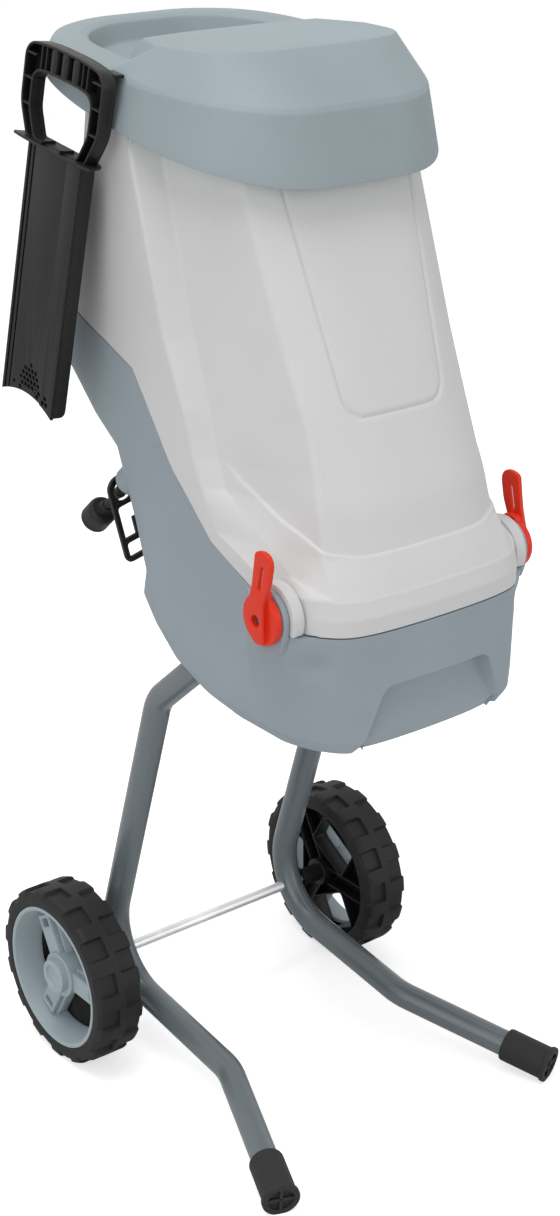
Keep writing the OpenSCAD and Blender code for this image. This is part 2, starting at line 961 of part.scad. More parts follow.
module leg_tube() {
    color(tube_grey)
        difference() {
            bent_tube(leg_path, leg_bends, tube_d, tube_wall);
            rod_x(leg_half - tube_d, leg_half + tube_d, axle_d + 0.4, axle_y, axle_z);
            along(leg_top, leg_shoulder)
                for (s = leg_screw_at)
                    translate([0, tube_d, s])
                        rotate([90, 0, 0])
                            cylinder(d = leg_screw_d + 2 * fit, h = tube_d);
        }
}
module leg_tube_left() {
    on_side(-1)
        leg_tube();
}
module leg_tube_right() {
    leg_tube();
}
module leg_screws() {
    reach = tube_d / 2 + fit + socket_wall;
    color(steel)
        both_flanks()
            along(leg_top, leg_shoulder)
                for (s = leg_screw_at)
                    translate([0, reach, s])
                        rotate([90, 0, 0])
                            screw(leg_screw_d, reach - 3);
}
module foot_cap() {
    end = 5;
    color(black)
        difference() {
            along(leg_tip, leg_ankle)
                difference() {
                    union() {
                        translate([0, 0, -end])
                            cylinder(d = foot_d, h = foot_len);
                        translate([0, 0, -end])
                            cylinder(d = foot_d + 2 * foot_flange, h = 5);
                    }
                    translate([0, 0, -running])
                        cylinder(d = tube_d + 0.2, h = foot_len);
                    translate([0, 0, -end - 1])
                        difference() {
                            cylinder(d = foot_d - 8, h = 4);
                            for (a = [0, 90])
                                rotate(a)
                                    translate([-foot_d / 2, -1.5, 0])
                                        cube([foot_d, 3, 5]);
                        }
                }
            translate([0, -far - 100, -50])
                cube([far, far, 50]);
        }
}
module foot_cap_left() {
    on_side(-1)
        foot_cap();
}
module foot_cap_right() {
    foot_cap();
}
hub_d = 28;
hub_len = 38;
nut_t = 4;
nut_d = 18;
bush_d = 18;
tyre_in = 71;
tread = 3.5;
lugs = 15;
row_w = 20;
web_z = [16, 20];
spoke_at = [30, 150, 270];
window = [26, 62, 52];
spoke_w = 22;
spoke_h = 9;
axle_end = wheel_inner + hub_len + fit + nut_t + 1;
module axle() {
    color([0.85, 0.85, 0.86])
        rod_x(-axle_end, axle_end, axle_d, axle_y, axle_z);
}
module axle_nuts() {
    color(steel)
        both_flanks()
            translate([wheel_inner + hub_len + fit, axle_y, axle_z])
                rotate([0, 90, 0])
                    linear_extrude(nut_t)
                        difference() {
                            circle(d = nut_d);
                            circle(d = axle_d + 2 * running);
                        }
}
module spacer_bushes() {
    color(black)
        both_flanks()
            translate([wheel_inner - fit - bush_len, axle_y, axle_z])
                rotate([0, 90, 0])
                    linear_extrude(bush_len)
                        difference() {
                            circle(d = bush_d);
                            circle(d = axle_d + 0.2);
                        }
}
module at_wheel() {
    translate([wheel_inner, axle_y, axle_z])
        rotate([0, 90, 0])
            children();
}
module tread_row(turn) {
    difference() {
        circle(d = wheel_d, $fn = 96);
        for (i = [0:lugs - 1])
            rotate(turn + i * 360 / lugs)
                translate([wheel_d / 2 - tread, -wheel_d * 0.055])
                    square([tread + 2, wheel_d * 0.11]);
        circle(r = tyre_in, $fn = 96);
    }
}
module wheel() {
    color(black)
        at_wheel()
            difference() {
                union() {
                    linear_extrude(row_w)
                        tread_row(0);
                    translate([0, 0, row_w])
                        linear_extrude(wheel_w - 2 * row_w)
                            difference() {
                                circle(d = wheel_d - 2 * tread, $fn = 96);
                                circle(r = tyre_in, $fn = 96);
                            }
                    translate([0, 0, wheel_w - row_w])
                        linear_extrude(row_w)
                            tread_row(180 / lugs);
                    difference() {
                        translate([0, 0, web_z[0]])
                            cylinder(r = tyre_in + 1, h = web_z[1] - web_z[0]);
                        for (a = spoke_at)
                            rotate(a + 60)
                                translate([window[0], -window[2] / 2, web_z[0] - 1])
                                    cube([window[1] - window[0], window[2], web_z[1] - web_z[0] + 2]);
                    }
                    cylinder(d = hub_d, h = hub_len);
                }
                translate([0, 0, -1])
                    cylinder(d = axle_d + 2 * running, h = wheel_w);
            }
}
module wheel_left() {
    on_side(-1)
        wheel();
}
module wheel_right() {
    wheel();
}
cap_z = web_z[1] + fit;
cap_boss = hub_d + 2 * fit + 5;
module hub_cap() {
    color(hub_grey)
        at_wheel() {
            rotate_extrude($fn = 96)
                polygon([
                    [tyre_in - fit, wheel_w], [tyre_in - fit - 4, wheel_w], [60, cap_z + 3], [60, cap_z],
                    [64, cap_z], [tyre_in - fit, wheel_w - 8]
                ]);
            difference() {
                union() {
                    cylinder(d = cap_boss, h = wheel_w - 1);
                    for (a = spoke_at)
                        rotate(a)
                            translate([0, -spoke_w / 2, cap_z])
                                cube([window[1], spoke_w, spoke_h]);
                }
                translate([0, 0, -1])
                    cylinder(d = hub_d + 2 * fit, h = wheel_w - 2);
                translate([0, 0, -1])
                    cylinder(d = cap_boss + 1, h = cap_z + 1);
            }
        }
}
module hub_cap_left() {
    on_side(-1)
        hub_cap();
}
module hub_cap_right() {
    hub_cap();
}

// Hopper cover, hood and inner chute

rim_low_z = 925;
rim_slope = 0.12;
function rim_z(y) = rim_low_z + rim_slope * (y - hood_datum_y);
module cover_knuckles() {
    both_flanks() {
        rod_x(knuckle_x - knuckle_w / 2, knuckle_x + knuckle_w / 2, knuckle_d, hinge_y, hinge_z);
        translate([knuckle_x - knuckle_w / 2, hinge_y - knuckle_depth, hinge_z + pad_gap])
            cube([knuckle_w, knuckle_depth, knuckle_pad]);
    }
}
function top_point(j, inset) =
    let (
        guess = body_ring(hood_low_z, inset)[j],
        near = body_ring(hood_low(guess[1]), inset)[j]
    )
    [near[0], near[1], hood_low(near[1]) - fit];
function cover_rings(inset) = concat(
    [for (z = cover_levels) body_ring(z, inset)],
    [[for (j = [0:len(body_ring(hood_low_z, inset)) - 1]) top_point(j, inset)]]
);
module cover_collars() {
    both_flanks()
        rod_x(body_half - 2 * wall, body_half + collar_t, 2 * collar_r, pivot_y, pivot_z);
}
module hopper_cover() {
    color(cover_white) {
        intersection() {
            body_shell(cover_rings(0), cover_rings(wall));
            above_seam();
        }
        intersection() {
            cover_collars();
            above_seam();
        }
        difference() {
            cover_knuckles();
            rod_x(-far, far, hinge_d + 2 * running, hinge_y, hinge_z);
        }
    }
}
hood_front = -114;
hood_rear = 212;
hood_plan = [
    [0, hood_front], [75, hood_front], [hood_half - 7, -63], [hood_half, 27],
    [hood_half, 117], [118, 182], [60, hood_rear], [0, hood_rear]
];
foot_plan = [[0, -103], [67, -103], [124, -52], [127, 30], [125, 75], [106, 160], [54, 192], [0, 192]];
crown_plan = [[0, -56], [50, -56], [90, -38], [98, 20], [97, 62], [100, 152], [52, 186], [0, 186]];
mouth_plan = [[0, 68], [40, 68], [78, 64], [90, 62], [94, 80], [94, 148], [50, 180], [0, 180]];
well_plan = [[0, 60], [38, 60], [74, 58], [84, 60], [86, 84], [84, 140], [44, 166], [0, 166]];
throat_plan = [[0, -10], [35, -10], [68, -6], [78, 12], [78, 40], [74, 62], [40, 70], [0, 70]];
hood_middle = 50;
throat_middle = 30;
last_front = 3;
skirt = 22;
flange_t = 3;
flange_w = 34;
function shrink(plan, d, size, middle) = [
    for (p = plan) [p[0] * (1 - d / size), middle + (p[1] - middle) * (1 - d / size)]
];
function in_hood(plan, d) = shrink(plan, d, 130, hood_middle);
function in_throat(plan, d) = shrink(plan, d, 60, throat_middle);
function at_heights(plan, heights) = [for (i = [0:len(plan) - 1]) [plan[i][0], plan[i][1], heights[i]]];
function above_low(plan, dz) = at_heights(plan, [for (p = plan) hood_low(p[1]) + dz]);
function above_rim(plan, dz) = at_heights(plan, [for (p = plan) rim_z(p[1]) + dz]);
function split(front, rear) = [for (i = [0:len(front) - 1]) i <= last_front ? front[i] : rear[i]];
function flat(plan, z) = at_heights(plan, [for (p = plan) z]);
function between(a, b, t) = [for (i = [0:len(a) - 1]) (1 - t) * a[i] + t * b[i]];
function forward(plan, dy) = [for (p = plan) [p[0], p[1] - dy]];
hood_edge = above_low(hood_plan, 0);
hood_sill = above_low(in_throat(throat_plan, -flange_t), 0);
function under(t) = between(hood_sill, hood_edge, t);
hood_rings = [
    hood_edge,
    above_rim(in_hood(hood_plan, 4), -7),
    above_rim(in_hood(hood_plan, 9), 0),
    above_rim(foot_plan, 1),
    split(flat(crown_plan, ridge_z), above_rim(crown_plan, 1)),
    split(flat(mouth_plan, ridge_z), above_rim(mouth_plan, -1)),
    split(flat(well_plan, ridge_z - 27), above_low(well_plan, 8)),
    above_low(throat_plan, 2),
    above_low(throat_plan, -skirt),
    above_low(in_throat(throat_plan, -flange_t), -skirt),
    hood_sill,
    split(flat(forward(well_plan, 4), ridge_z - 31), under(1 / 8)),
    split(flat(forward(mouth_plan, 4), ridge_z - 3.5), under(2 / 8)),
    split(flat(in_hood(crown_plan, 4), ridge_z - 3.5), under(3 / 8)),
    split(above_rim(in_hood(foot_plan, 3.5), -2.5), under(4 / 8)),
    split(above_low(in_hood(hood_plan, 4.5), flange_t), under(5 / 8)),
    split(above_low(in_hood(hood_plan, flange_w), flange_t), under(6 / 8)),
    split(above_low(in_hood(hood_plan, flange_w), 0), under(7 / 8))
];
module hopper_hood() {
    color(hood_grey)
        loft([for (r = hood_rings) smooth(both_sides(r))]);
}
chute_low_plan = [
    [0, -146], [30, -146], [46, -140], [50, -120], [50, -80], [46, -55], [30, -48], [0, -48]
];
chute_low_middle = -97;
chute_lift = 32;
chute_top = skirt - 4;
chute_fit = 1;
collar_drop = 3;
function over_disc(plan) = at_heights(plan, [
    for (p = plan) disc_z + (p[1] - disc_y) * tan(cutter_tilt) + chute_lift
]);
function chute_high(d) = above_low(in_throat(throat_plan, -flange_t - chute_fit - d), -chute_top);
function chute_collar(d) =
    above_low(in_throat(throat_plan, -flange_t - chute_fit - d), -skirt - collar_drop);
function chute_low(d) = over_disc(shrink(chute_low_plan, -d, 50, chute_low_middle));
module feed_chute() {
    color(black)
        loft([
            for (r = [
                chute_low(chute_wall), chute_collar(chute_wall), chute_high(chute_wall),
                chute_high(0), chute_collar(0), chute_low(0)
            ])
                both_sides(r)
        ]);
}
module hinge_pins() {
    color(steel)
        both_flanks()
            rod_x(knuckle_x - pin_reach - 1, knuckle_x + pin_reach + 1, hinge_d, hinge_y, hinge_z);
}

// Locking levers

lever_r = 22;
lever_hub_t = 7;
lever_arm_t = 4.2;
lever_slot = 3.6;
lever_side = [
    [-10, -18], [3, -18], [12.5, -3], [12, 6], [4, 32], [0.5, lever_len - 2], [-13, lever_len],
    [-20, lever_len - 4], [-21.5, lever_len - 9], [-17.5, 34], [-10, 19]
];
lever_foot = [
    [-10, -18], [3, -18], [12.5, -3], [12, 6], [6, 25.5], [-13.25, 25.5], [-10, 19]
];
slot_side = [
    [-10 - lever_slot / 2, lever_len - 12], [-5 - lever_slot / 2, 27],
    [-5 + lever_slot / 2, 27], [-10 + lever_slot / 2, lever_len - 12]
];
module lever() {
    color(lever_red)
        translate([lever_in, pivot_y, pivot_z])
            rotate([90, 0, 90])
                difference() {
                    union() {
                        translate([0, 0, lever_t - lever_arm_t])
                            linear_extrude(lever_arm_t)
                                polygon(lever_side);
                        linear_extrude(lever_t)
                            polygon(lever_foot);
                        cylinder(r = lever_r, h = lever_hub_t);
                    }
                    translate([0, 0, -1])
                        cylinder(d = bolt_d + 2 * running, h = lever_t + 2);
                    translate([0, 0, -1])
                        linear_extrude(lever_t + 2)
                            polygon(slot_side);
                }
}
module lever_left() {
    on_side(-1)
        lever();
}
module lever_right() {
    translate([0, pivot_y, 0])
        mirror([0, 1, 0])
            translate([0, -pivot_y, 0])
                lever();
}
module lever_bolt() {
    color(steel)
        rod_x(bolt_in, lever_in + lever_hub_t, bolt_d, pivot_y, pivot_z);
}
module lever_bolt_left() {
    on_side(-1)
        lever_bolt();
}
module lever_bolt_right() {
    lever_bolt();
}

// Plunger, hung on the hood's left rim

plunger_x = -162.5;
plunger_y = 88;
plunger_z = 875;
plunger_turn = [7.4, 5.6, 0];
skin = 3;
handle_w = 116;
handle_h = 81;
handle_t = 13;
grip_h = 24;
post_w = 15;
guard_t = 3;
guard_out = 4;
guard_in = 3;
lip_at = 73.6;
lip_reach = 9;
lip_w = 16;
lip_t = 3.2;
lip_from = [-54, 14];
slots = 7;
slot_pitch = 12;
slot_w = 6;
module in_side_plane(t) {
    rotate([90, 0, 90])
        linear_extrude(t)
            children();
}
module blade() {
    difference() {
        translate([0, -blade_w / 2, -blade_len])
            cube([blade_depth, blade_w, blade_len]);
        translate([skin, skin - blade_w / 2, -blade_len - 1])
            cube([blade_depth, blade_w - 2 * skin, blade_len - skin + 1]);
    }
}
module handle() {
    hand_h = handle_h - grip_h;
    difference() {
        in_side_plane(handle_t)
            difference() {
                rounded_slot(-handle_w / 2, handle_w / 2, 0, handle_h, 10);
                rounded_slot(post_w - handle_w / 2, handle_w / 2 - post_w, guard_t, hand_h, 9);
            }
        for (i = [0:slots - 1])
            translate([-1, (i - (slots - 1) / 2) * slot_pitch - slot_w / 2, hand_h + skin])
                cube([handle_t - skin + 1, slot_w, grip_h - 2 * skin]);
    }
}
module plunger() {
    color(black)
        translate([plunger_x, plunger_y, plunger_z])
            rotate(plunger_turn) {
                blade();
                handle();
                translate([-guard_out, -handle_w / 2, 0])
                    cube([guard_out + handle_t + guard_in, handle_w, guard_t]);
                for (y = lip_from)
                    translate([handle_t - 1, y, lip_at])
                        cube([lip_reach + 1, lip_w, lip_t]);
            }
}

motor_housing();
base_plate();
base_screws();
chip_deflector();
motor_plate();
plate_screws();
motor_can();
end_shield();
stator();
brush_holders();
upper_bearing();
lower_bearing();
rotor_shaft();
rotor_core();
commutator();
cooling_fan();
knife_disc();
knife_a();
knife_b();
knife_screws();
disc_bolt();
switch_box();
start_button();
stop_button();
reset_button();
interlock_switch();
lead_gland();
power_lead();
plug();
plug_pins();
cord_hook();
leg_tube_left();
leg_tube_right();
leg_screws();
foot_cap_left();
foot_cap_right();
axle();
axle_nuts();
spacer_bushes();
wheel_left();
wheel_right();
hub_cap_left();
hub_cap_right();
hopper_cover();
hopper_hood();
feed_chute();
hinge_pins();
lever_left();
lever_right();
lever_bolt_left();
lever_bolt_right();
plunger();
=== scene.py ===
"""Visual model of an electric garden shredder on a two-wheel tube stand."""
import math

import bpy
import numpy as np
from mathutils import Matrix
from mathutils.geometry import delaunay_2d_cdt


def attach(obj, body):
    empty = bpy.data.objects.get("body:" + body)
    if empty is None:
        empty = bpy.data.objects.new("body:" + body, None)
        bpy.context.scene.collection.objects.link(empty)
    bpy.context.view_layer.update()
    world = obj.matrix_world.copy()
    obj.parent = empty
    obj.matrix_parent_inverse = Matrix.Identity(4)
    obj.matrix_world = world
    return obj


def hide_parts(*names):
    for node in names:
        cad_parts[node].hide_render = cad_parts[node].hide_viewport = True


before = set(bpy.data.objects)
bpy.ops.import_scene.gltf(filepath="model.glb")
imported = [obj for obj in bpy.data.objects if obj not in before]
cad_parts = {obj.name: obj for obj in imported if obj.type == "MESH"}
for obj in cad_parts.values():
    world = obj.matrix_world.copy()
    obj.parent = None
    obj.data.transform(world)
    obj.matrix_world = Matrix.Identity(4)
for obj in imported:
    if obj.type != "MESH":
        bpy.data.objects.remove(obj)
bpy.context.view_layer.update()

# Number helpers. Shapes are worked out in millimetres, and become metres when their mesh is made.

MM = 0.001
TINY = 1e-9
# A reach that every edge cuts to its own half, so that a corner with it is round from middle to middle
FULL = 99.0
# Axes that stand a flat part up in the machine's side: u along Y, v along Z, and its height along X
IN_SIDE = np.array([[0, 0, 1], [1, 0, 0], [0, 1, 0]], float)


def unit(v):
    """Each vector of an array divided by its length."""
    return v / np.maximum(np.linalg.norm(v, axis=-1, keepdims=True), TINY)


def ease(a, b, x):
    """0 up to a, 1 past b, and the cubic 3t^2 - 2t^3 between them. With a above b it falls instead."""
    t = np.clip((x - a) / (b - a), 0, 1)
    return t * t * (3 - 2 * t)


def turned(axis, degrees):
    """The matrix that turns column vectors about X, Y or Z, given as 0, 1 or 2."""
    c, s = math.cos(math.radians(degrees)), math.sin(math.radians(degrees))
    about_z = np.array([[c, -s, 0], [s, c, 0], [0, 0, 1]])
    return np.roll(about_z, (axis + 1, axis + 1), (0, 1))


def onto(direction):
    """A matrix whose last column is the direction and whose first two span the plane square to it."""
    w = unit(np.array(direction, float))
    u = unit(np.cross(w, [0, 0, 1] if abs(w[2]) < 0.9 else [1, 0, 0]))
    return np.stack([u, np.cross(w, u), w], -1)


def columns(steps, fills):
    """Places along a ring of corners: the whole part of a place picks a corner, the first half of the rest
    runs over its rounding in that many steps, and the second half along the straight to the next corner."""
    return np.concatenate([
        np.concatenate([i + 0.5 * np.arange(a) / a, i + 0.5 + 0.5 * np.arange(b) / max(b, 1)])
        for i, (a, b) in enumerate(zip(steps, fills))
    ])


def soft_point(before, here, after, reach_here, reach_after, share):
    """A point on a ring with rounded corners. A corner P becomes the parabola (1-t)^2 A + 2t(1-t) P + t^2 B
    from A to B, each a reach back along its edge but no further than its middle; straights join B to the
    next A."""
    back = np.linalg.norm(before - here, axis=-1, keepdims=True)
    on = np.linalg.norm(after - here, axis=-1, keepdims=True)
    a = here + (before - here) * np.minimum(0.5, reach_here / np.maximum(back, TINY))
    b = here + (after - here) * np.minimum(0.5, reach_here / np.maximum(on, TINY))
    c = after + (here - after) * np.minimum(0.5, reach_after / np.maximum(on, TINY))
    t, w = np.clip(2 * share, 0, 1), np.clip(2 * share - 1, 0, 1)
    arc = (1 - t) ** 2 * a + 2 * t * (1 - t) * here + t ** 2 * b
    return np.where(share < 0.5, arc, b + w * (c - b))


def soft_ring(corners, reach, u):
    """Rings of corners, the last but one axis being the corner, sampled at the places u."""
    m = corners.shape[-2]
    i = np.floor(u).astype(int) % m
    reach = np.broadcast_to(np.asarray(reach, float), corners.shape[:-1])[..., None]
    return soft_point(
        corners[..., i - 1, :], corners[..., i, :], corners[..., (i + 1) % m, :],
        reach[..., i, :], reach[..., (i + 1) % m, :], (u - np.floor(u))[:, None],
    )


def outline(corners, reach, steps):
    """A closed flat outline with its corners rounded, each in a number of steps."""
    corners = np.array(corners, float)
    m = len(corners)
    return soft_ring(corners, reach, columns([steps] * m, [1] * m))


def rectangle(u0, u1, v0, v1, reach, steps):
    """A rectangular outline with its corners rounded."""
    return outline([[u0, v0], [u1, v0], [u1, v1], [u0, v1]], reach, steps)


def angles(sides):
    """Even angles round a full turn."""
    return np.arange(sides) * 2 * np.pi / sides


def circle(radius, sides=32):
    """Points round a circle."""
    a = angles(sides)
    return np.stack([radius * np.cos(a), radius * np.sin(a)], -1)


def mirrored(half):
    """A half ring of corners, first and last on the middle plane, completed on the other side of x = 0."""
    return np.concatenate([half, half[..., -2:0:-1, :] * [-1, 1, 1]], axis=-2)


# Parts: each is a closed skin, as points and triangles with their fronts outwards.

SHORTEST_EDGE, MITRE_LIMIT, SAME_PLACE = 0.01, 0.35, 1e-6


def closed(points, tris):
    """Triangles turned so that the sum of a.(b x c), six times the volume, is positive."""
    p = points - points.mean(axis=0)
    a, b, c = p[tris[:, 0]], p[tris[:, 1]], p[tris[:, 2]]
    return points, tris if np.sum(a * np.cross(b, c)) > 0 else tris[:, ::-1]


def grid_tris(rows, cols, wrap):
    """Two triangles for each cell of a grid whose columns wrap, and whose rows wrap if asked."""
    i, j = np.meshgrid(np.arange(rows if wrap else rows - 1), np.arange(cols), indexing="ij")
    a, b = i * cols + j, i * cols + (j + 1) % cols
    d, c = (i + 1) % rows * cols + j, (i + 1) % rows * cols + (j + 1) % cols
    return np.concatenate([np.stack([a, b, c], -1).reshape(-1, 3), np.stack([a, c, d], -1).reshape(-1, 3)])


def loft(points, wrap):
    """A skin over rows of rings; open ends are closed by fans to the middle of their ring."""
    rows, cols = points.shape[:2]
    tris = grid_tris(rows, cols, wrap)
    verts = points.reshape(-1, 3)
    if not wrap:
        j = np.arange(cols)
        k = (j + 1) % cols
        last, n = (rows - 1) * cols, rows * cols
        low = np.stack([k, j, np.full(cols, n)], -1)
        high = np.stack([last + j, last + k, np.full(cols, n + 1)], -1)
        verts = np.concatenate([verts, points[[0, -1]].mean(axis=1)])
        tris = np.concatenate([tris, low, high])
    return closed(verts, tris)


def lathe(profile, sides):
    """A closed profile of (radius, height) points turned about the third axis."""
    profile = np.array(profile, float)
    a = angles(sides)
    r, h = profile[:, :1], profile[:, 1:]
    return loft(np.stack([r * np.cos(a), r * np.sin(a), h + 0 * a], -1), True)


def hoop(inner, outer, low, high, edge, sides):
    """A ring of rectangular section, its corners rounded, turned about the third axis."""
    return lathe(rectangle(inner, outer, low, high, edge, 3), sides)


def tube(path, radius, sides):
    """A round section carried square to a path."""
    path = np.array(path, float)
    t = unit(np.gradient(path, axis=0))
    u = unit(np.cross(t, [1.0, 0, 0]))
    v = np.cross(t, u)
    a = angles(sides)[:, None]
    ring = u[:, None] * np.cos(a) + v[:, None] * np.sin(a)
    return loft(path[:, None] + radius * ring, False)


def inside(loops, places):
    """Even-odd test: a place is inside if a ray along +u crosses the loops an odd number of times."""
    p = np.concatenate(loops)
    q = np.concatenate([np.roll(ring, -1, axis=0) for ring in loops])
    u, v = places[:, :1], places[:, 1:]
    spans = (p[:, 1] > v) != (q[:, 1] > v)
    rise = np.where(q[:, 1] == p[:, 1], 1, q[:, 1] - p[:, 1])
    crossing = p[:, 0] + (v - p[:, 1]) * (q[:, 0] - p[:, 0]) / rise
    return np.sum(spans & (u < crossing), axis=1) % 2 == 1


def plate(loops, low, high, edge, steps=3):
    """A flat part between two heights: an outline and then its holes, each a closed ring of (u, v) points.
    Every rim is a quarter round of radius edge carried along its ring, and the flats between are filled."""
    rims, starts, tris, n = [], [], [], 0
    phi = np.linspace(0, np.pi / 2, steps + 1)
    inset = np.concatenate([edge * (1 - np.sin(phi)), edge * (1 - np.sin(phi[::-1]))])
    level = np.concatenate([low + edge * (1 - np.cos(phi)), high - edge * (1 - np.cos(phi[::-1]))])
    rows = len(inset)
    for k, ring in enumerate(loops):
        ring = np.array(ring, float)
        ring = ring[np.linalg.norm(ring - np.roll(ring, 1, axis=0), axis=1) > SHORTEST_EDGE]
        after = np.roll(ring, -1, axis=0)
        area = np.sum(ring[:, 0] * after[:, 1] - ring[:, 1] * after[:, 0])
        if (area > 0) == (k > 0):
            ring = ring[::-1]
        d1, d2 = unit(ring - np.roll(ring, 1, axis=0)), unit(np.roll(ring, -1, axis=0) - ring)
        n1, n2 = np.stack([d1[:, 1], -d1[:, 0]], -1), np.stack([d2[:, 1], -d2[:, 0]], -1)
        out = (n1 + n2) / np.maximum(1 + np.sum(n1 * n2, -1, keepdims=True), MITRE_LIMIT)
        flat = ring - inset[:, None, None] * out
        heights = np.broadcast_to(level[:, None, None], flat.shape[:2] + (1,))
        rims.append(np.concatenate([flat, heights], -1))
        starts.append(n)
        tris.append(grid_tris(rows, len(ring), False) + n)
        n += rows * len(ring)
    brims = [r[0, :, :2] for r in rims]
    at = np.concatenate([s + np.arange(len(b)) for s, b in zip(starts, brims)])
    lift = np.concatenate([np.full(len(b), (rows - 1) * len(b)) for b in brims])
    first = np.cumsum([0] + [len(b) for b in brims])
    edges = [(int(f + i), int(f + (i + 1) % len(b))) for f, b in zip(first, brims) for i in range(len(b))]
    flat, _, cells = delaunay_2d_cdt(np.concatenate(brims).tolist(), edges, [], 0, SAME_PLACE)[:3]
    cells = np.array([c for c in cells if len(c) == 3])
    xy = np.array([tuple(p) for p in flat])
    cells = cells[inside(brims, xy[cells].mean(axis=1))]
    apart = np.linalg.norm(xy[:, None] - np.concatenate(brims)[None], axis=-1)
    cells = np.argmin(apart, axis=1)[cells]
    tris += [at[cells][:, ::-1], (at + lift)[cells]]
    return closed(np.concatenate([r.reshape(-1, 3) for r in rims]), np.concatenate(tris))


def block(u0, u1, v0, v1, low, high, edge):
    """A rectangular part with its edges rounded."""
    return plate([rectangle(u0, u1, v0, v1, edge, 3)], low, high, edge, 2)


def put(part, axes, origin=(0, 0, 0)):
    """A part turned by a matrix and moved."""
    return closed(part[0] @ np.asarray(axes).T + np.array(origin, float), part[1])


def flipped(part):
    """A part mirrored to the other side of x = 0."""
    return closed(part[0] * [-1, 1, 1], part[1])


SIDES = (("right", lambda part: part), ("left", flipped))


def piece(name, body, finish, parts, replaces=(), sharp=35):
    """One object on a body from closed parts, shaded smooth except over edges sharper than an angle."""
    first = np.cumsum([0] + [len(p[0]) for p in parts])
    mesh = bpy.data.meshes.new(name)
    points = np.concatenate([p[0] for p in parts]) * MM
    tris = np.concatenate([p[1] + f for p, f in zip(parts, first)])
    mesh.from_pydata(points.tolist(), [], tris.tolist())
    mesh.polygons.foreach_set("use_smooth", np.ones(len(tris), bool))
    mesh.update()
    mesh.set_sharp_from_angle(angle=math.radians(sharp))
    mesh.materials.append(finish)
    made = bpy.data.objects.new(name, mesh)
    bpy.context.scene.collection.objects.link(made)
    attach(made, body)
    if replaces:
        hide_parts(*replaces)
    return made


# Finishes


class Shade:
    """A socket of a finish's nodes as a value: an operator on it adds the Math node that works it out."""

    def __init__(self, tree, socket=None):
        self.tree, self.socket = tree, socket

    def node(self, kind, settings, sockets, output=0):
        """Adds a node of a type, sets it, fills or links its sockets, and gives one of its outputs."""
        made = self.tree.nodes.new(kind)
        for key, value in settings.items():
            setattr(made, key, value)
        for key, value in sockets.items():
            if isinstance(value, Shade):
                self.tree.links.new(value.socket, made.inputs[key])
            else:
                made.inputs[key].default_value = value
        return Shade(self.tree, made.outputs[output])

    def math(self, operation, *values):
        """A Math node on the given values alone, some of them plain numbers."""
        return self.node("ShaderNodeMath", {"operation": operation}, dict(enumerate(values)))

    def __add__(self, other):
        return self.math("ADD", self, other)

    def __radd__(self, other):
        return self.math("ADD", other, self)

    def __mul__(self, other):
        return self.math("MULTIPLY", self, other)

    def __rmul__(self, other):
        return self.math("MULTIPLY", other, self)

    def between(self, low, high):
        """0 below low, 1 above high and eased between them."""
        kind = {"interpolation_type": "SMOOTHSTEP"}
        return self.node("ShaderNodeMapRange", kind, {"Value": self, "From Min": low, "From Max": high})


def linear(red, green, blue):
    """A screen colour of 0 to 255 as linear light, with an alpha of 1."""
    c = np.array([red, green, blue]) / 255
    c = np.where(c <= 0.04045, c / 12.92, ((c + 0.055) / 1.055) ** 2.4)
    return (*c.tolist(), 1.0)


def shaded(colour, factor):
    """A colour made lighter or darker by a factor, and no lighter than white."""
    return tuple(min(1.0, c * factor) for c in colour[:3]) + (1.0,)


def new_finish(name, fixed):
    """A new material: its shader, with the settings that are the same all over, and Object coordinates."""
    made = bpy.data.materials.new(name)
    made.use_nodes = True
    shader = made.node_tree.nodes["Principled BSDF"]
    for key, value in fixed.items():
        shader.inputs[key].default_value = value
    return made, shader, Shade(made.node_tree).node("ShaderNodeTexCoord", {}, {}, "Object")


def noise(at, scale, detail=3.0):
    """Soft noise about 0.5 at a number of waves to the metre."""
    sockets = {"Vector": at, "Scale": scale, "Detail": detail, "Roughness": 0.5}
    return at.node("ShaderNodeTexNoise", {}, sockets)


def mixed(factor, one, two):
    """A colour between two."""
    kind = {"data_type": "RGBA", "blend_type": "MIX"}
    return factor.node("ShaderNodeMix", kind, {"Factor": factor, "A": one, "B": two}, 2)


def feed(shader, **inputs):
    """Links values to a shader's sockets, written with _ for a blank."""
    for key, value in inputs.items():
        value.tree.links.new(value.socket, shader.inputs[key.replace("_", " ")])


def bump(height, strength, distance):
    """A Bump node over a height of 0 to 1 that stands for a distance in metres."""
    return height.node("ShaderNodeBump", {}, {"Height": height, "Strength": strength, "Distance": distance})


def moulded(name, colour, rough, grain=1400, depth=0.35, spread=0.05):
    """Moulded plastic: a spark-eroded grain as bump, faint flow clouds in the colour and in the gloss."""
    made, shader, at = new_finish(name, {"IOR": 1.46, "Specular IOR Level": 0.4})
    grains = noise(at, grain, 2.0)
    clouds = noise(at, 9.0)
    specks = noise(at, grain * 0.6, 1.0)
    pattern = (clouds * 0.6 + specks * 0.4).between(0.3, 0.7)
    tone = mixed(pattern, shaded(colour, 1 - spread), shaded(colour, 1 + spread))
    feed(shader, Base_Color=tone, Roughness=rough - 0.06 + clouds * 0.08 + grains * 0.05,
         Normal=bump(grains, depth, 0.00012))
    return made


def painted(name, colour, rough):
    """Powder coat on tube: orange peel as bump and small specks of shade."""
    made, shader, at = new_finish(name, {"IOR": 1.5, "Coat Weight": 0.15, "Coat Roughness": 0.25})
    peel = noise(at, 420.0, 2.0)
    specks = noise(at, 1800.0, 1.0)
    tone = mixed(specks.between(0.35, 0.65), shaded(colour, 0.92), colour)
    feed(shader, Base_Color=tone, Roughness=rough - 0.05 + peel * 0.1, Normal=bump(peel, 0.3, 0.0002))
    return made


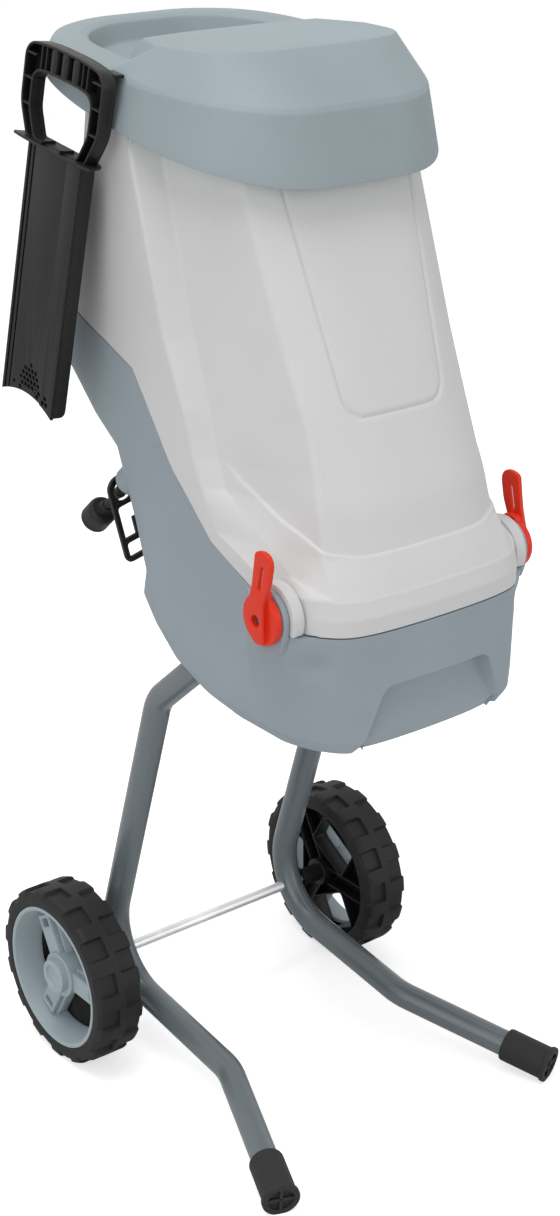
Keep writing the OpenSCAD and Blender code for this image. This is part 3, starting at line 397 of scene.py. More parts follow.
def metal(name, colour, rough, waves, depth=0.15):
    """Drawn or turned metal: fine lines, long along one axis or even, in the gloss and as bump."""
    made, shader, at = new_finish(name, {"Metallic": 1.0})
    stretched = at.node("ShaderNodeMapping", {}, {"Vector": at, "Scale": waves})
    lines = noise(stretched, 1.0, 4.0)
    clouds = noise(at, 30.0, 4.0)
    tone = mixed(clouds.between(0.35, 0.7), shaded(colour, 0.85), colour)
    feed(shader, Base_Color=tone, Roughness=rough - 0.08 + lines * 0.12 + clouds * 0.06,
         Normal=bump(lines, depth, 0.0001))
    return made


def wound(name, colour):
    """Lacquered wire: bands of turns as bump and shade."""
    made, shader, at = new_finish(name, {"Metallic": 0.8, "Coat Weight": 0.6})
    sockets = {"Vector": at, "Scale": 250.0, "Distortion": 1.5}
    turns = at.node("ShaderNodeTexWave", {"bands_direction": "Z"}, sockets)
    tone = mixed(turns.between(0.1, 0.8), shaded(colour, 0.5), colour)
    feed(shader, Base_Color=tone, Roughness=0.3 + turns * 0.2, Normal=bump(turns, 0.5, 0.0004))
    return made


HOUSING = moulded("housing plastic", linear(146, 157, 164), 0.54, depth=0.16)
COVER = moulded("cover plastic", linear(206, 206, 206), 0.42, depth=0.12, spread=0.02)
HOOD = moulded("hood plastic", linear(146, 158, 163), 0.54, depth=0.12)
HUB = moulded("hub cap plastic", linear(158, 171, 177), 0.45)
BLACK = moulded("black plastic", linear(20, 20, 21), 0.46, spread=0.12)
WHEEL = moulded("wheel plastic", linear(11, 11, 11), 0.5, spread=0.15)
TYRE = moulded("tyre plastic", linear(21, 21, 21), 0.6, grain=900, spread=0.15)
RED = moulded("lever plastic", linear(222, 46, 12), 0.42, spread=0.04)
STOP_RED = moulded("stop button plastic", linear(196, 34, 28), 0.4, spread=0.04)
GREEN = moulded("start button plastic", linear(34, 128, 66), 0.4, spread=0.04)
RUBBER = moulded("foot rubber", linear(40, 40, 41), 0.7, grain=700, spread=0.15)
LEAD = moulded("lead jacket", linear(36, 36, 37), 0.55, grain=1200, spread=0.1)
PAINT = painted("tube paint", linear(104, 113, 117), 0.24)
BRIGHT = metal("bright steel", linear(243, 243, 244), 0.5, (40.0, 900.0, 900.0))
STEEL = metal("plain steel", linear(150, 150, 152), 0.42, (300.0, 300.0, 300.0))
DARK_STEEL = metal("blued steel", linear(92, 94, 98), 0.4, (500.0, 500.0, 60.0))
ALLOY = metal("cast alloy", linear(150, 152, 155), 0.55, (400.0, 400.0, 400.0), depth=0.4)
COPPER = wound("wound wire", linear(184, 104, 58))

# Camera at the photograph's place, then the lead

AZIMUTH, ELEVATION = math.radians(-38.087), math.radians(23.057)
CAMERA_AT = (-1.1099, -1.4179, 1.2265)


def set_up(thing, place, back):
    """Links a camera or lamp to the scene at a place. Its third axis, back, points away from what it faces,
    and its first is level."""
    across = unit(np.cross([0, 0, 1.0], back))
    axes = np.stack([across, np.cross(back, across), back], -1)
    thing.matrix_world = Matrix([[*row, p] for row, p in zip(axes, place)] + [[0, 0, 0, 1]])
    bpy.context.scene.collection.objects.link(thing)


camera = bpy.data.objects.new("camera", bpy.data.cameras.new("camera"))
camera.data.lens = 64.51
camera.data.sensor_width = 36.0
set_up(camera, CAMERA_AT, np.array([
    math.sin(AZIMUTH) * math.cos(ELEVATION), -math.cos(AZIMUTH) * math.cos(ELEVATION), math.sin(ELEVATION)
]))
bpy.context.scene.camera = camera

GLAND = np.array([-101.0, 95.0, 569.0])
GLAND_DROP = math.radians(42)
GLAND_WAY = np.array([0, math.cos(GLAND_DROP), -math.sin(GLAND_DROP)])
LEAD_D, LEAD_FROM, LEAD_TO = 8.0, -31.0, 33.0
RIB_CREST, RIB_ROOT, RIB_FROM, RIB_STEP = 5.5, 4.9, -8.5, 1.1
lead_path = GLAND + np.linspace(LEAD_FROM, LEAD_TO, 20)[:, None] * GLAND_WAY
lead_jacket = tube(lead_path, LEAD_D / 2, 20)
lead = piece("power_lead_jacket", "base", LEAD, [lead_jacket], ["power_lead"])


def on_gland(part, along=0.0):
    """A turned part set on the gland's axis."""
    return put(part, onto(GLAND_WAY), GLAND + along * GLAND_WAY)


plug_body = lathe(outline([
    [0.5, 0.1], [5.4, 0.1], [6.4, 5.5], [6.6, 7], [11.5, 8], [13.5, 11], [13.5, 24], [13.1, 24.6],
    [13.1, 25.6], [13.5, 26.2], [13.5, 30], [11.5, 30], [11.5, 13], [0.5, 13],
], [0.2, 1, 1, 0.6, 1.5, 2, 0.3, 0.3, 0.3, 0.3, 0.8, 0.8, 0.6, 0.2], 4), 64)
plug = piece("plug_body", "base", BLACK, [on_gland(plug_body, LEAD_TO)], ["plug"], 50)

ribs = [[RIB_CREST if k % 4 < 2 else RIB_ROOT, RIB_FROM + RIB_STEP * k] for k in range(14)]
gland_body = lathe([
    [4.3, -33], [7, -33], [7, -15], [11.5, -15], [12, -14.5], [12, -12.6], [11.5, -12], [5.5, -12], *ribs,
    [5.4, 6.4], [4.8, 9.4], [4.6, 10], [4.3, 10],
], 48)
piece("lead_strain_relief", "base", BLACK, [on_gland(gland_body)], ["lead_gland"], 40)

# Body walls: tables of a height and a place, for the corners of the body's ring

FRONT = [
    [418, -208], [430, -215], [540, -216], [557, -211], [585, -196], [618, -185], [680, -161], [735, -141],
    [860, -95], [930, -69],
]
REAR = [
    [418, -47], [446, 18], [470, 46], [490, 62], [513, 57], [557, 72], [618, 94], [642, 126], [680, 162],
    [735, 146], [930, 100],
]
HALF = [
    [418, 110], [430, 119], [446, 121], [470, 122], [557, 122], [618, 124], [680, 127], [735, 129],
    [930, 138],
]
EDGE_X = [[418, 56], [430, 60], [557, 60], [618, 57], [680, 52], [735, 55], [930, 68]]
NOSE_X = [[418, 84], [430, 90], [446, 91], [585, 93], [618, 90], [642, 86], [680, 84], [930, 95]]
NOSE_Y = [
    [418, -199], [430, -205], [540, -207], [557, -202], [585, -178], [642, -160], [680, -147], [735, -122],
    [860, -72], [930, -44],
]
VALLEY_X = [
    [418, 101], [430, 109], [446, 111], [557, 112], [585, 111], [680, 110], [860, 112], [930, 114],
]
VALLEY_Y = [
    [418, -176], [430, -183], [540, -185], [557, -181], [585, -130], [618, -72], [642, -60], [680, -50],
    [735, -31], [860, 2], [930, 18],
]
FOLD_Y = [
    [418, -150], [430, -154], [540, -157], [557, -150], [585, -72], [618, -55], [642, -46], [680, -36],
    [735, -13], [860, 14], [930, 30],
]
BODY_LOW, REAR_ROUND, WALL, SEAM_GAP, LIP = 418.0, 45, 3.0, 1.2, 0.5
# The levers' pivot and the hopper's hinge, each along X, as (y, z)
PIVOT = np.array([-154.0, 538.0])
HINGE = np.array([153.0, 748.0])


def by_height(table, z, blur=1.4):
    """A table's straight-line value at z, averaged over a few millimetres so that its bends are soft."""
    table = np.array(table, float)
    shifts = np.linspace(-blur, blur, 7)
    return np.mean([np.interp(z + d, table[:, 0], table[:, 1]) for d in shifts], axis=0)


def body_corners(z, inset):
    """The sixteen corners of the body's ring at heights z, on a new last but one axis."""
    half, front, rear = by_height(HALF, z) - inset, by_height(FRONT, z) + inset, by_height(REAR, z) - inset
    lean, zero = inset * math.sqrt(0.5), np.zeros_like(z)
    x = [
        zero, by_height(EDGE_X, z), by_height(NOSE_X, z) - lean, by_height(VALLEY_X, z) - inset, half, half,
        half, half - 2 * REAR_ROUND, zero,
    ]
    y = [
        front, front + 2, by_height(NOSE_Y, z) + lean, by_height(VALLEY_Y, z), by_height(FOLD_Y, z),
        rear - 2 * REAR_ROUND, rear, rear, rear,
    ]
    return mirrored(np.stack([np.stack(x, -1), np.stack(y, -1), np.repeat(z[..., None], len(x), -1)], -1))


def both_halves(values):
    """Values for the corners of half a ring, completed for the other half."""
    return values + values[-2:0:-1]


# For each corner: its rounding, what the skirt below the fold adds to it, and the columns over the rounding
# and along the straight after it
CORNER_REACH = np.array(both_halves([FULL, FULL, 6, 3, 3, FULL, FULL, FULL, FULL]))
SKIRT_REACH = np.array(both_halves([0, 0, 8, 8, 9, 0, 0, 0, 0]))
STEPS = both_halves([34, 44, 10, 6, 6, 6, 8, 6, 4])
FILLS = [0, 8, 36, 8, 10, 0, 0, 0]
FILLS += FILLS[::-1]
BODY_U = columns(STEPS, FILLS)
SKIRT_ENDS, SKIRT_FULL = 572, 548


def body_at(z, inset=0.0):
    """Points of the body's wall, one column of heights z for each place round the ring."""
    corners = body_corners(z, inset)
    reach = CORNER_REACH + SKIRT_REACH * ease(SKIRT_ENDS, SKIRT_FULL, z)[..., None]
    i, j = np.floor(BODY_U).astype(int) % len(STEPS), np.arange(len(BODY_U))
    k = (i + 1) % len(STEPS)
    return soft_point(
        corners[:, j, i - 1], corners[:, j, i], corners[:, j, k],
        reach[:, j, i][..., None], reach[:, j, k][..., None], (BODY_U - np.floor(BODY_U))[:, None],
    )


SEAM_BENDS = np.array([[-300, 526], [-173, 526], [-6, 600], [24, 694], [300, 694 + 0.395 * 276]], float)
SEAM_ROUND = 16.0
# The planes of the hood's lower edge and of its rim: their height at one y, and their rise along Y
PLANES_FROM, LOW_Z, LOW_RISE, RIM_Z, RIM_RISE = -86, 870, 0.25, 925, 0.12
# Heights at which the wall's edges are looked for, every half millimetre
EDGE_HEIGHTS = np.linspace(430, 945, 1031)


def seam_z(y):
    """Height of the seam over y: level at the front, two straights and a slope, their bends rounded."""
    over_bend = np.linspace(0, 0.499, 9)[:, None]
    bends = [soft_point(*SEAM_BENDS[i - 1:i + 2], SEAM_ROUND, 0.0, over_bend) for i in (1, 2, 3)]
    line = np.concatenate([SEAM_BENDS[:1], *bends, SEAM_BENDS[-1:]])
    return np.interp(y, line[:, 0], line[:, 1])


def hood_low(y):
    """The plane of the hood's lower edge."""
    return LOW_Z + LOW_RISE * (y - PLANES_FROM)


def meeting(surface):
    """For each column of the body, the highest z at which it is still below a surface z = f(y)."""
    z = np.repeat(EDGE_HEIGHTS[:, None], len(BODY_U), 1)
    below = z < surface(body_at(z)[..., 1])
    return z[len(z) - 1 - np.argmax(below[::-1], axis=0), np.arange(len(BODY_U))]


def lip(distance, radius):
    """How far a wall draws back next to its edge: a quarter round of that radius."""
    d = np.clip(distance / radius, 0, 1)
    return radius * (1 - np.sqrt(1 - (1 - d) ** 2))


def pushed(points, depth):
    """Points moved against the normal of their grid, whose columns wrap."""
    around = np.roll(points, -1, 1) - np.roll(points, 1, 1)
    normal = unit(np.cross(around, np.gradient(points, axis=0)))
    return points - depth[..., None] * normal


def round_box(a, b, r):
    """Signed distance to the corner of two straight edges a and b, rounded by r."""
    qa, qb = a + r, b + r
    return np.hypot(np.maximum(qa, 0), np.maximum(qb, 0)) + np.minimum(np.maximum(qa, qb), 0) - r


# The front panel's foot, half width there, widening with height, and corner; then its groove and depth
PANEL_FOOT, PANEL_HALF, PANEL_SPREAD, PANEL_ROUND = 686.5, 50.8, 0.0838, 17.0
GROOVE_DEPTH, GROOVE_HALF, PANEL_DEPTH = 1.7, 1.6, 0.4
# The height of the ledge under the bulge, over y, and of the skirt's fold
BULGE_EDGE = np.array([
    [-196, 584.5], [-190, 585], [-176, 590], [-152, 600], [-131, 607], [-107, 618], [-85, 629], [-66, 642],
])
SKIRT_FOLD = 555.5
# Each ledge's depth, half the width of its step, and the reach over which it fades
BULGE_LEDGE, FOLD_LEDGE = (2.0, 0.9, 40), (0.9, 0.9, 16)
# The scoop's top, half width there, widening downwards, and corner; then its depth low down and higher up
SCOOP_TOP, SCOOP_HALF, SCOOP_SPREAD, SCOOP_ROUND = 474.8, 54.5, 0.4127, 6.0
SCOOP_DEPTH, SCOOP_DEEPER = 5.0, 8.0
DENT_DEPTH, SWELL_HEIGHT = 4.5, 11.4


def ledge(above, depth, soft, reach):
    """A step that faces upwards: the wall over an edge is set back by a depth that fades over a reach."""
    return depth * ease(-soft, soft, above) * ease(reach, 0, above)


def cover_relief(p):
    """The front panel, a narrow groove in a U that is open at the top with the panel a little below the
    wall, and the ledges under the bulge and along the skirt's fold. The factors on the panel's two edges
    make their offsets square to the slanting side and to the leaning front."""
    x, y, z = np.abs(p[..., 0]), p[..., 1], p[..., 2]
    wide = PANEL_HALF + (z - PANEL_FOOT) * PANEL_SPREAD
    d = round_box((x - wide) * 0.996, (PANEL_FOOT - z) * 0.94, PANEL_ROUND)
    front = ease(-10, -40, y - 0.35 * (z - 735))
    panel = front * (GROOVE_DEPTH * np.exp(-(d / GROOVE_HALF) ** 2) + PANEL_DEPTH * ease(1.5, -1.5, d))
    under = ledge(z - np.interp(y, *BULGE_EDGE.T), *BULGE_LEDGE) * ease(-66, -84, y) * ease(115, 109, x)
    fold = ledge(z - SKIRT_FOLD - 0.9 * np.maximum(x - 98, 0), *FOLD_LEDGE) * ease(-150, -165, y)
    return panel + under + fold


def housing_relief(p):
    """The front's scoop, open at the bottom and deepest at its top, and on each side a dent and, behind it,
    the swelling that carries the ear, which grows outwards with height by a cubic ease."""
    x, y, z = np.abs(p[..., 0]), p[..., 1], p[..., 2]
    wide = SCOOP_HALF + (SCOOP_TOP - z) * SCOOP_SPREAD
    d = round_box((x - wide) * 0.92, z - SCOOP_TOP, SCOOP_ROUND)
    front = ease(-150, -172, y)
    scoop = front * ease(1.8, -1.8, d) * (SCOOP_DEPTH + SCOOP_DEEPER * ease(425, 474, z))
    at_side = ease(88, 108, x)
    dent = DENT_DEPTH * np.exp(-((y + 183) / 13) ** 2 - ((z - 500) / 10) ** 2)
    swell = SWELL_HEIGHT * ease(42, 15, np.abs(y - PIVOT[0] - 2)) * ease(446, 512, z)
    return scoop + at_side * (dent - swell)


def shell(low, high, rows, inner_rows, low_share, relief):
    """A wall between two edges, given for each column: outer rows with relief and rounded lips, then inner
    rows that follow the dents alone. low_share of the outer rows lie in the lowest 0.35 of the height."""
    spread = np.interp(np.linspace(0, 1, rows), [0, low_share, 1], [0.008, 0.35, 0.992])
    v = np.concatenate([[0, 0.0008, 0.002, 0.004], spread, [0.996, 0.998, 0.9992, 1]])
    z = low + v[:, None] * (high - low)
    outer = body_at(z)
    outer = pushed(outer, relief(outer) + lip(z - low, LIP) + lip(high - z, LIP))
    inner = body_at(low + np.linspace(1, 0, inner_rows)[:, None] * (high - low), WALL)
    inner = pushed(inner, -np.maximum(relief(inner), 0))
    return loft(np.concatenate([outer, inner]), True)


seam = meeting(seam_z)
cover_top = meeting(lambda y: hood_low(y) - 0.3)
cover_wall = shell(seam + SEAM_GAP / 2, cover_top, 232, 20, 0.5, cover_relief)
housing_wall = shell(np.full_like(seam, BODY_LOW), seam - SEAM_GAP / 2, 130, 60, 0.35, housing_relief)

LEG_PATH = np.array([
    [104, -67, 480], [104, 42, 384], [104, 143.4, 66.8], [104, -58.8, 42.4], [160.7, -206.5, 16.8],
])
LEG_R, LEG_BENDS = 12.5, [45.0, 63.0, 60.0]
LEVER_BORE = 5.1
EAR_IN, EAR_OUT = 127.5, 133
COLLAR_IN, COLLAR_OUT, COLLAR_R = 116, 127, 28
KNUCKLE_R, KNUCKLE_BORE, KNUCKLE_EDGE = 8, 3.2, 0.8


def knuckle(x0, x1, y0, z0, z1):
    """A hinge knuckle's parts: a bored barrel along X on the hinge's axis, and the block that joins it to
    its wall, from y0 to the axis and from z0 to z1, measured from there."""
    barrel = plate([circle(KNUCKLE_R, 48), circle(KNUCKLE_BORE)], x0, x1, KNUCKLE_EDGE)
    foot = block(y0, 0, z0, z1, x0, x1, KNUCKLE_EDGE)
    return [put(p, IN_SIDE, (0, *HINGE)) for p in (barrel, foot)]


def above_seam(ring):
    """A flat outline about the pivot with whatever is below the seam drawn up to it."""
    edge = seam_z(ring[:, 0] + PIVOT[0]) + SEAM_GAP / 2 - PIVOT[1]
    return np.stack([ring[:, 0], np.maximum(ring[:, 1], edge)], -1)


ear = plate([outline([
    [-17, -26], [20, -26], [24, -14], [24, 0], [22.2, 9.2], [17, 17], [9.2, 22.2], [0, 24], [-9.2, 22.2],
    [-17, 17], [-22.2, 9.2], [-24, 0], [-22, -14],
], [3, 3, 7, 5, 5, 5, 5, 5, 5, 5, 5, 5, 9], 5), circle(LEVER_BORE)], EAR_IN, EAR_OUT, 1.0)
socket = put(hoop(12.8, 16.3, -3.5, 45, 0.8, 48), onto(LEG_PATH[1] - LEG_PATH[0]), LEG_PATH[0])
fittings = [put(ear, IN_SIDE, (0, *PIVOT)), socket]
fittings += knuckle(44, 54, -8, -24, -2) + knuckle(66, 76, -8, -24, -2)
pad = on_gland(hoop(7.4, 13.5, -45, -15, 1.2, 48))
piece("housing_shell", "base", HOUSING, [housing_wall, *fittings, *map(flipped, fittings), pad],
      ["motor_housing"], 40)

collar = plate([above_seam(circle(COLLAR_R, 72))], COLLAR_IN, COLLAR_OUT, 0.8)
cover_parts = [put(collar, IN_SIDE, (0, *PIVOT)), *knuckle(54.5, 65.5, -13, 2, 24)]
piece("hopper_shell", "hopper", COVER, [cover_wall, *cover_parts, *map(flipped, cover_parts)],
      ["hopper_cover"], 40)

# Hood: half plans of its rings, each from the middle of the front round to the middle of the rear

HOOD_PLAN, FOOT_PLAN, CROWN_PLAN, MOUTH_PLAN, WELL_PLAN, THROAT_PLAN = np.array([
    [[0, -114], [75, -114], [128, -54], [145, 27], [145, 117], [118, 182], [60, 212], [0, 212]],
    [[0, -102], [69.4, -102], [118.6, -46.4], [133.6, 28.6], [125, 75], [106, 160], [54, 192], [0, 192]],
    [[0, -57], [54, -57], [100, -40], [106, 20], [102, 62], [101, 152], [52, 186], [0, 186]],
    [[0, 68], [40, 68], [78, 64], [90, 62], [94, 80], [94, 148], [50, 180], [0, 180]],
    [[0, 63], [39, 63], [75, 61], [86, 62], [90, 83], [89, 144], [47, 173], [0, 173]],
    [[0, -10], [35, -10], [68, -6], [78, 12], [78, 40], [74, 62], [40, 70], [0, 70]],
])
RIDGE, SKIRT, FLANGE, FLANGE_W, HOOD_WALL = 962.0, 22.0, 3.0, 34, 3.5


def shrunk(plan, d, size=130, middle=50):
    """A plan drawn in towards a point on the middle plane, by d at the distance size."""
    k = 1 - d / size
    return np.stack([plan[:, 0] * k, middle + (plan[:, 1] - middle) * k], -1)


def lifted(plan, z):
    """A plan with its heights."""
    return np.column_stack([plan, np.broadcast_to(z, len(plan))])


def split(front, rear):
    """The first four corners from one ring and the rest from another."""
    return np.concatenate([front[:4], rear[4:]])


def over_low(plan, dz):
    """A plan set above the lower plane."""
    return lifted(plan, hood_low(plan[:, 1]) + dz)


def over_rim(plan, dz):
    """A plan set above the rim's plane."""
    return lifted(plan, RIM_Z + RIM_RISE * (plan[:, 1] - PLANES_FROM) + dz)


# The rings run up the outside, over the crown, down the mouth and throat, and back under the skin
wide_throat = shrunk(THROAT_PLAN, -FLANGE, 60, 30)
edge_ring, sill_ring = over_low(HOOD_PLAN, 0), over_low(wide_throat, 0)
forward = np.array([0, 4.0])
under_fronts = [
    lifted(WELL_PLAN - forward, RIDGE - 31),
    lifted(MOUTH_PLAN - forward, RIDGE - HOOD_WALL),
    lifted(shrunk(CROWN_PLAN, 4), RIDGE - HOOD_WALL),
    over_rim(shrunk(FOOT_PLAN, HOOD_WALL), -2.5),
    over_low(shrunk(HOOD_PLAN, 4.5), FLANGE),
    over_low(shrunk(HOOD_PLAN, FLANGE_W), FLANGE),
    over_low(shrunk(HOOD_PLAN, FLANGE_W), 0),
]
hood_rings = [
    edge_ring,
    over_rim(shrunk(HOOD_PLAN, 7.4), -3),
    over_rim(shrunk(HOOD_PLAN, 9), 0),
    over_rim(FOOT_PLAN, 1),
    split(lifted(CROWN_PLAN, RIDGE), over_rim(CROWN_PLAN, 1)),
    split(lifted(MOUTH_PLAN, RIDGE), over_rim(MOUTH_PLAN, -1)),
    split(lifted(WELL_PLAN, RIDGE - 27), over_low(WELL_PLAN, 5)),
    over_low(THROAT_PLAN, 2),
    over_low(THROAT_PLAN, -SKIRT),
    over_low(wide_throat, -SKIRT),
    sill_ring,
] + [
    split(front, sill_ring + (edge_ring - sill_ring) * k / (len(under_fronts) + 1))
    for k, front in enumerate(under_fronts, 1)
]
hood_corners = mirrored(np.stack(hood_rings))
RINGS, CORNERS = hood_corners.shape[:2]
# Where the crown ends at the mouth, the corners of the foot, crown, mouth and well rings are tighter
MOUTH_ENDS = [3, 4, 10, 11]
plan_reach = np.full((RINGS, CORNERS), FULL)
plan_reach[3, MOUTH_ENDS] = 20
plan_reach[4:6, MOUTH_ENDS] = 3
plan_reach[6, MOUTH_ENDS] = 7
HOOD_REACH = np.array([1, 1.2, 0.9, 1, 1.2, 1.5, 3, 4, 1.2, 1.2] + [1] * 8)
hood_columns = soft_ring(hood_corners, plan_reach, columns([22] * CORNERS, [0] * CORNERS))
hood_rows = columns([5] * RINGS, [4] * 10 + [1] * (RINGS - 10))
hood_grid = soft_ring(hood_columns.swapaxes(0, 1), HOOD_REACH, hood_rows).swapaxes(0, 1)
piece("hood_shell", "hopper", HOOD, [loft(hood_grid, True)], ["hopper_hood"], 50)

# Stand


def bent(path, radii, steps=24):
    """A path with each inner corner replaced by a circular arc that is tangent to both straights."""
    runs = [path[:1]]
    for before, here, after, r in zip(path[:-2], path[1:-1], path[2:], radii):
        d1, d2 = unit(here - before), unit(after - here)
        angle = np.arccos(np.clip(d1 @ d2, -1, 1))
        middle = here + unit(d2 - d1) * r / np.cos(angle / 2)
        e1 = unit(here - d1 * r * np.tan(angle / 2) - middle)
        a = np.linspace(0, angle, steps)[:, None]
        runs.append(middle + r * (np.cos(a) * e1 + np.sin(a) * d1))
    return np.concatenate(runs + [path[-1:]])


def on_floor(part):
    """A part with whatever would go below the floor pressed flat against it."""
    points = part[0].copy()
    points[:, 2] = np.maximum(points[:, 2], 0.0)
    return points, part[1]


leg = tube(bent(LEG_PATH, LEG_BENDS), LEG_R, 48)
foot = lathe(outline([
    [12.65, 0.2], [12.65, 43], [15.2, 43], [16, 41], [16, 0.2], [17.5, -0.6], [17.5, -4.6], [16.6, -5],
    [12, -5], [12, -2], [0.4, -2], [0.4, 0.2],
], [0.1, 0.6, 0.6, 1, 0.8, 0.8, 0.8, 0.6, 0.6, 0.6, 0.1, 0.1], 3), 64)
cross = [block(-u, u, -v, v, -4.6, -1.9, 0.4) for u, v in ((13, 1.5), (1.5, 13))]
foot_axes = onto(LEG_PATH[3] - LEG_PATH[4])
foot_parts = [on_floor(put(p, foot_axes, LEG_PATH[4])) for p in (foot, *cross)]
for side, on_side in SIDES:
    piece(f"leg_tube_paint_{side}", "base", PAINT, [on_side(leg)],
          [f"leg_tube_{side}"], 60)
    piece(f"foot_cap_body_{side}", "base", RUBBER, [on_side(p) for p in foot_parts],
          [f"foot_cap_{side}"], 45)

# Wheels, made lying flat with their outer face up

AXLE = np.array([114.0, 87.5])
WHEEL_X, WHEEL_R, WHEEL_W, TYRE_IN = 138.5, 87.5, 48.0, 71.0
TREAD, LUGS, ROW, NOTCH_SHARE = 3.5, 15, 20.0, 0.11
SHOULDER, SIDE_NOTCH = 6, 1.6
# Axes that lay a turned part's own axis along X
AT_WHEEL = np.array([[0, 0, 1], [0, 1, 0], [-1, 0, 0]], float)
AXLE_BORE, WEB_LOW, WEB_HIGH, RIB_HIGH, RIB_HALF = 5.1, 16, 20, 16.5, 0.9
WINDOWS = (-30, 90, 210)
SPOKES = (30, 150, 270)
CAP_LOW = 20.3


def tyre():
    """The tyre: a closed section turned about the axle, with staggered notches cut in from both sides."""
    pitch = 2 * np.pi / LUGS
    wide = np.arcsin(NOTCH_SHARE * WHEEL_R / (WHEEL_R - TREAD))
    soft = 0.008
    marks = np.array([-wide - soft, -wide + soft, wide - soft, wide + soft])
    middles = np.array([0, -wide / 2, wide / 2])
    one = np.concatenate([marks, marks + pitch / 2, middles, middles + pitch / 2])
    one = np.sort(np.mod(one, pitch))
    a = (one[None] + np.arange(LUGS)[:, None] * pitch).reshape(-1)

    def notch(angle):
        """1 in a gap between lugs, 0 on a lug, with steep eased flanks."""
        off = np.abs(np.mod(angle + pitch / 2, pitch) - pitch / 2)
        return ease(wide + soft, wide - soft, off)

    section = outline([
        [0, TYRE_IN], [0, 80], [1.5, 86], [SHOULDER, WHEEL_R], [ROW - 0.6, WHEEL_R], [ROW + 0.6, WHEEL_R],
        [WHEEL_W - ROW - 0.6, WHEEL_R], [WHEEL_W - ROW + 0.6, WHEEL_R], [WHEEL_W - SHOULDER, WHEEL_R],
        [WHEEL_W - 1.5, 86], [WHEEL_W, 80], [WHEEL_W, TYRE_IN],
    ], [0.6, 2, 1.2, 1.5, 0.4, 0.4, 0.4, 0.4, 1.5, 1.2, 2, 0.6], 3)
    h, r = section[:, :1], section[:, 1:]
    beside = ease(ROW + 0.7, ROW - 0.7, np.minimum(h, WHEEL_W - h))
    row = beside * np.where(h < WHEEL_W / 2, notch(a), notch(a - pitch / 2))
    sunk = row * np.clip(r - (WHEEL_R - TREAD), 0, None)
    from_side = ease(SHOULDER, 0, h) - ease(WHEEL_W - SHOULDER, WHEEL_W, h)
    r, h = r - sunk, h + row * ease(79, 83, r) * SIDE_NOTCH * from_side
    return loft(np.stack([r * np.cos(a), r * np.sin(a), h], -1), True)


def window(degrees, grow=0.0):
    """One of the openings between spokes, as a rounded outline turned by an angle."""
    return rectangle(26 - grow, 62 + grow, -26 - grow, 26 + grow, 4, 4) @ turned(2, -degrees)[:2, :2]


def hub_cap():
    """The hub cap's parts: a dished rim, three box spokes, and a boss with a shallow round recess."""
    rim = lathe(outline([
        [70.7, 48], [66.7, 48], [60, 23.3], [60, CAP_LOW], [64, CAP_LOW], [70.7, 40],
    ], [1.2, 1.6, 2, 0.6, 1, 2], 5), 128)
    boss = lathe(outline([
        [14.3, CAP_LOW], [16.8, CAP_LOW], [16.8, 47], [11.5, 47], [10.8, 44.5], [0.4, 44.5], [0.4, 42.5],
        [14.3, 42.5],
    ], [0.3, 0.3, 2, 1, 1, 0.1, 0.1, 0.3], 4), 64)
    seat = hoop(14.3, 22, CAP_LOW, 40, 1.2, 64)
    spoke = plate([rectangle(15, 62, -13, 13, 1.5, 3)], CAP_LOW, 31, 1.2)
    crest = plate([rectangle(15, 59, -10, 10, 2, 4), rectangle(47, 55, -6, 6, 1.5, 3)], 30, 37, 1.4)
    return [rim, boss, seat] + [put(p, turned(2, a)) for a in SPOKES for p in (spoke, crest)]


def at_wheel(part):
    """A part of the right wheel set on the axle."""
    return put(part, AT_WHEEL, (WHEEL_X, *AXLE))


web_rings = [circle(TYRE_IN + 0.8, 96), circle(AXLE_BORE + 0.1)] + [window(a) for a in WINDOWS]
web = plate(web_rings, WEB_LOW, WEB_HIGH, 0.5)
hub = plate([circle(14, 48), circle(AXLE_BORE)], 0, 38, 0.8)
wheel_ring = hoop(66.2, 67.6, 7, RIB_HIGH, 0.4, 96)
wheel_ribs = [block(13, TYRE_IN + 0.5, v - RIB_HALF, v + RIB_HALF, 4, RIB_HIGH, 0.4) for v in (-9, 9)]
wheel_ribs = [put(p, turned(2, a)) for a in SPOKES for p in wheel_ribs]
window_walls = [plate([window(a, 1.5), window(a)], 3, RIB_HIGH, 0.4) for a in WINDOWS]
tyre_part = at_wheel(tyre())
web_parts = [at_wheel(p) for p in (web, hub, wheel_ring, *wheel_ribs, *window_walls)]
cap_parts = [at_wheel(p) for p in hub_cap()]
for side, on_side in SIDES:
    piece(f"tyre_{side}", f"wheel_{side}", TYRE, [on_side(tyre_part)], [], 30)
    piece(f"wheel_web_{side}", f"wheel_{side}", WHEEL, [on_side(p) for p in web_parts],
          [f"wheel_{side}"], 40)
    piece(f"hub_cap_shell_{side}", f"wheel_{side}", HUB, [on_side(p) for p in cap_parts],
          [f"hub_cap_{side}"], 40)

# Levers, as (y, z) outlines about the pivot: the left one leans to the front and the right one to the rear

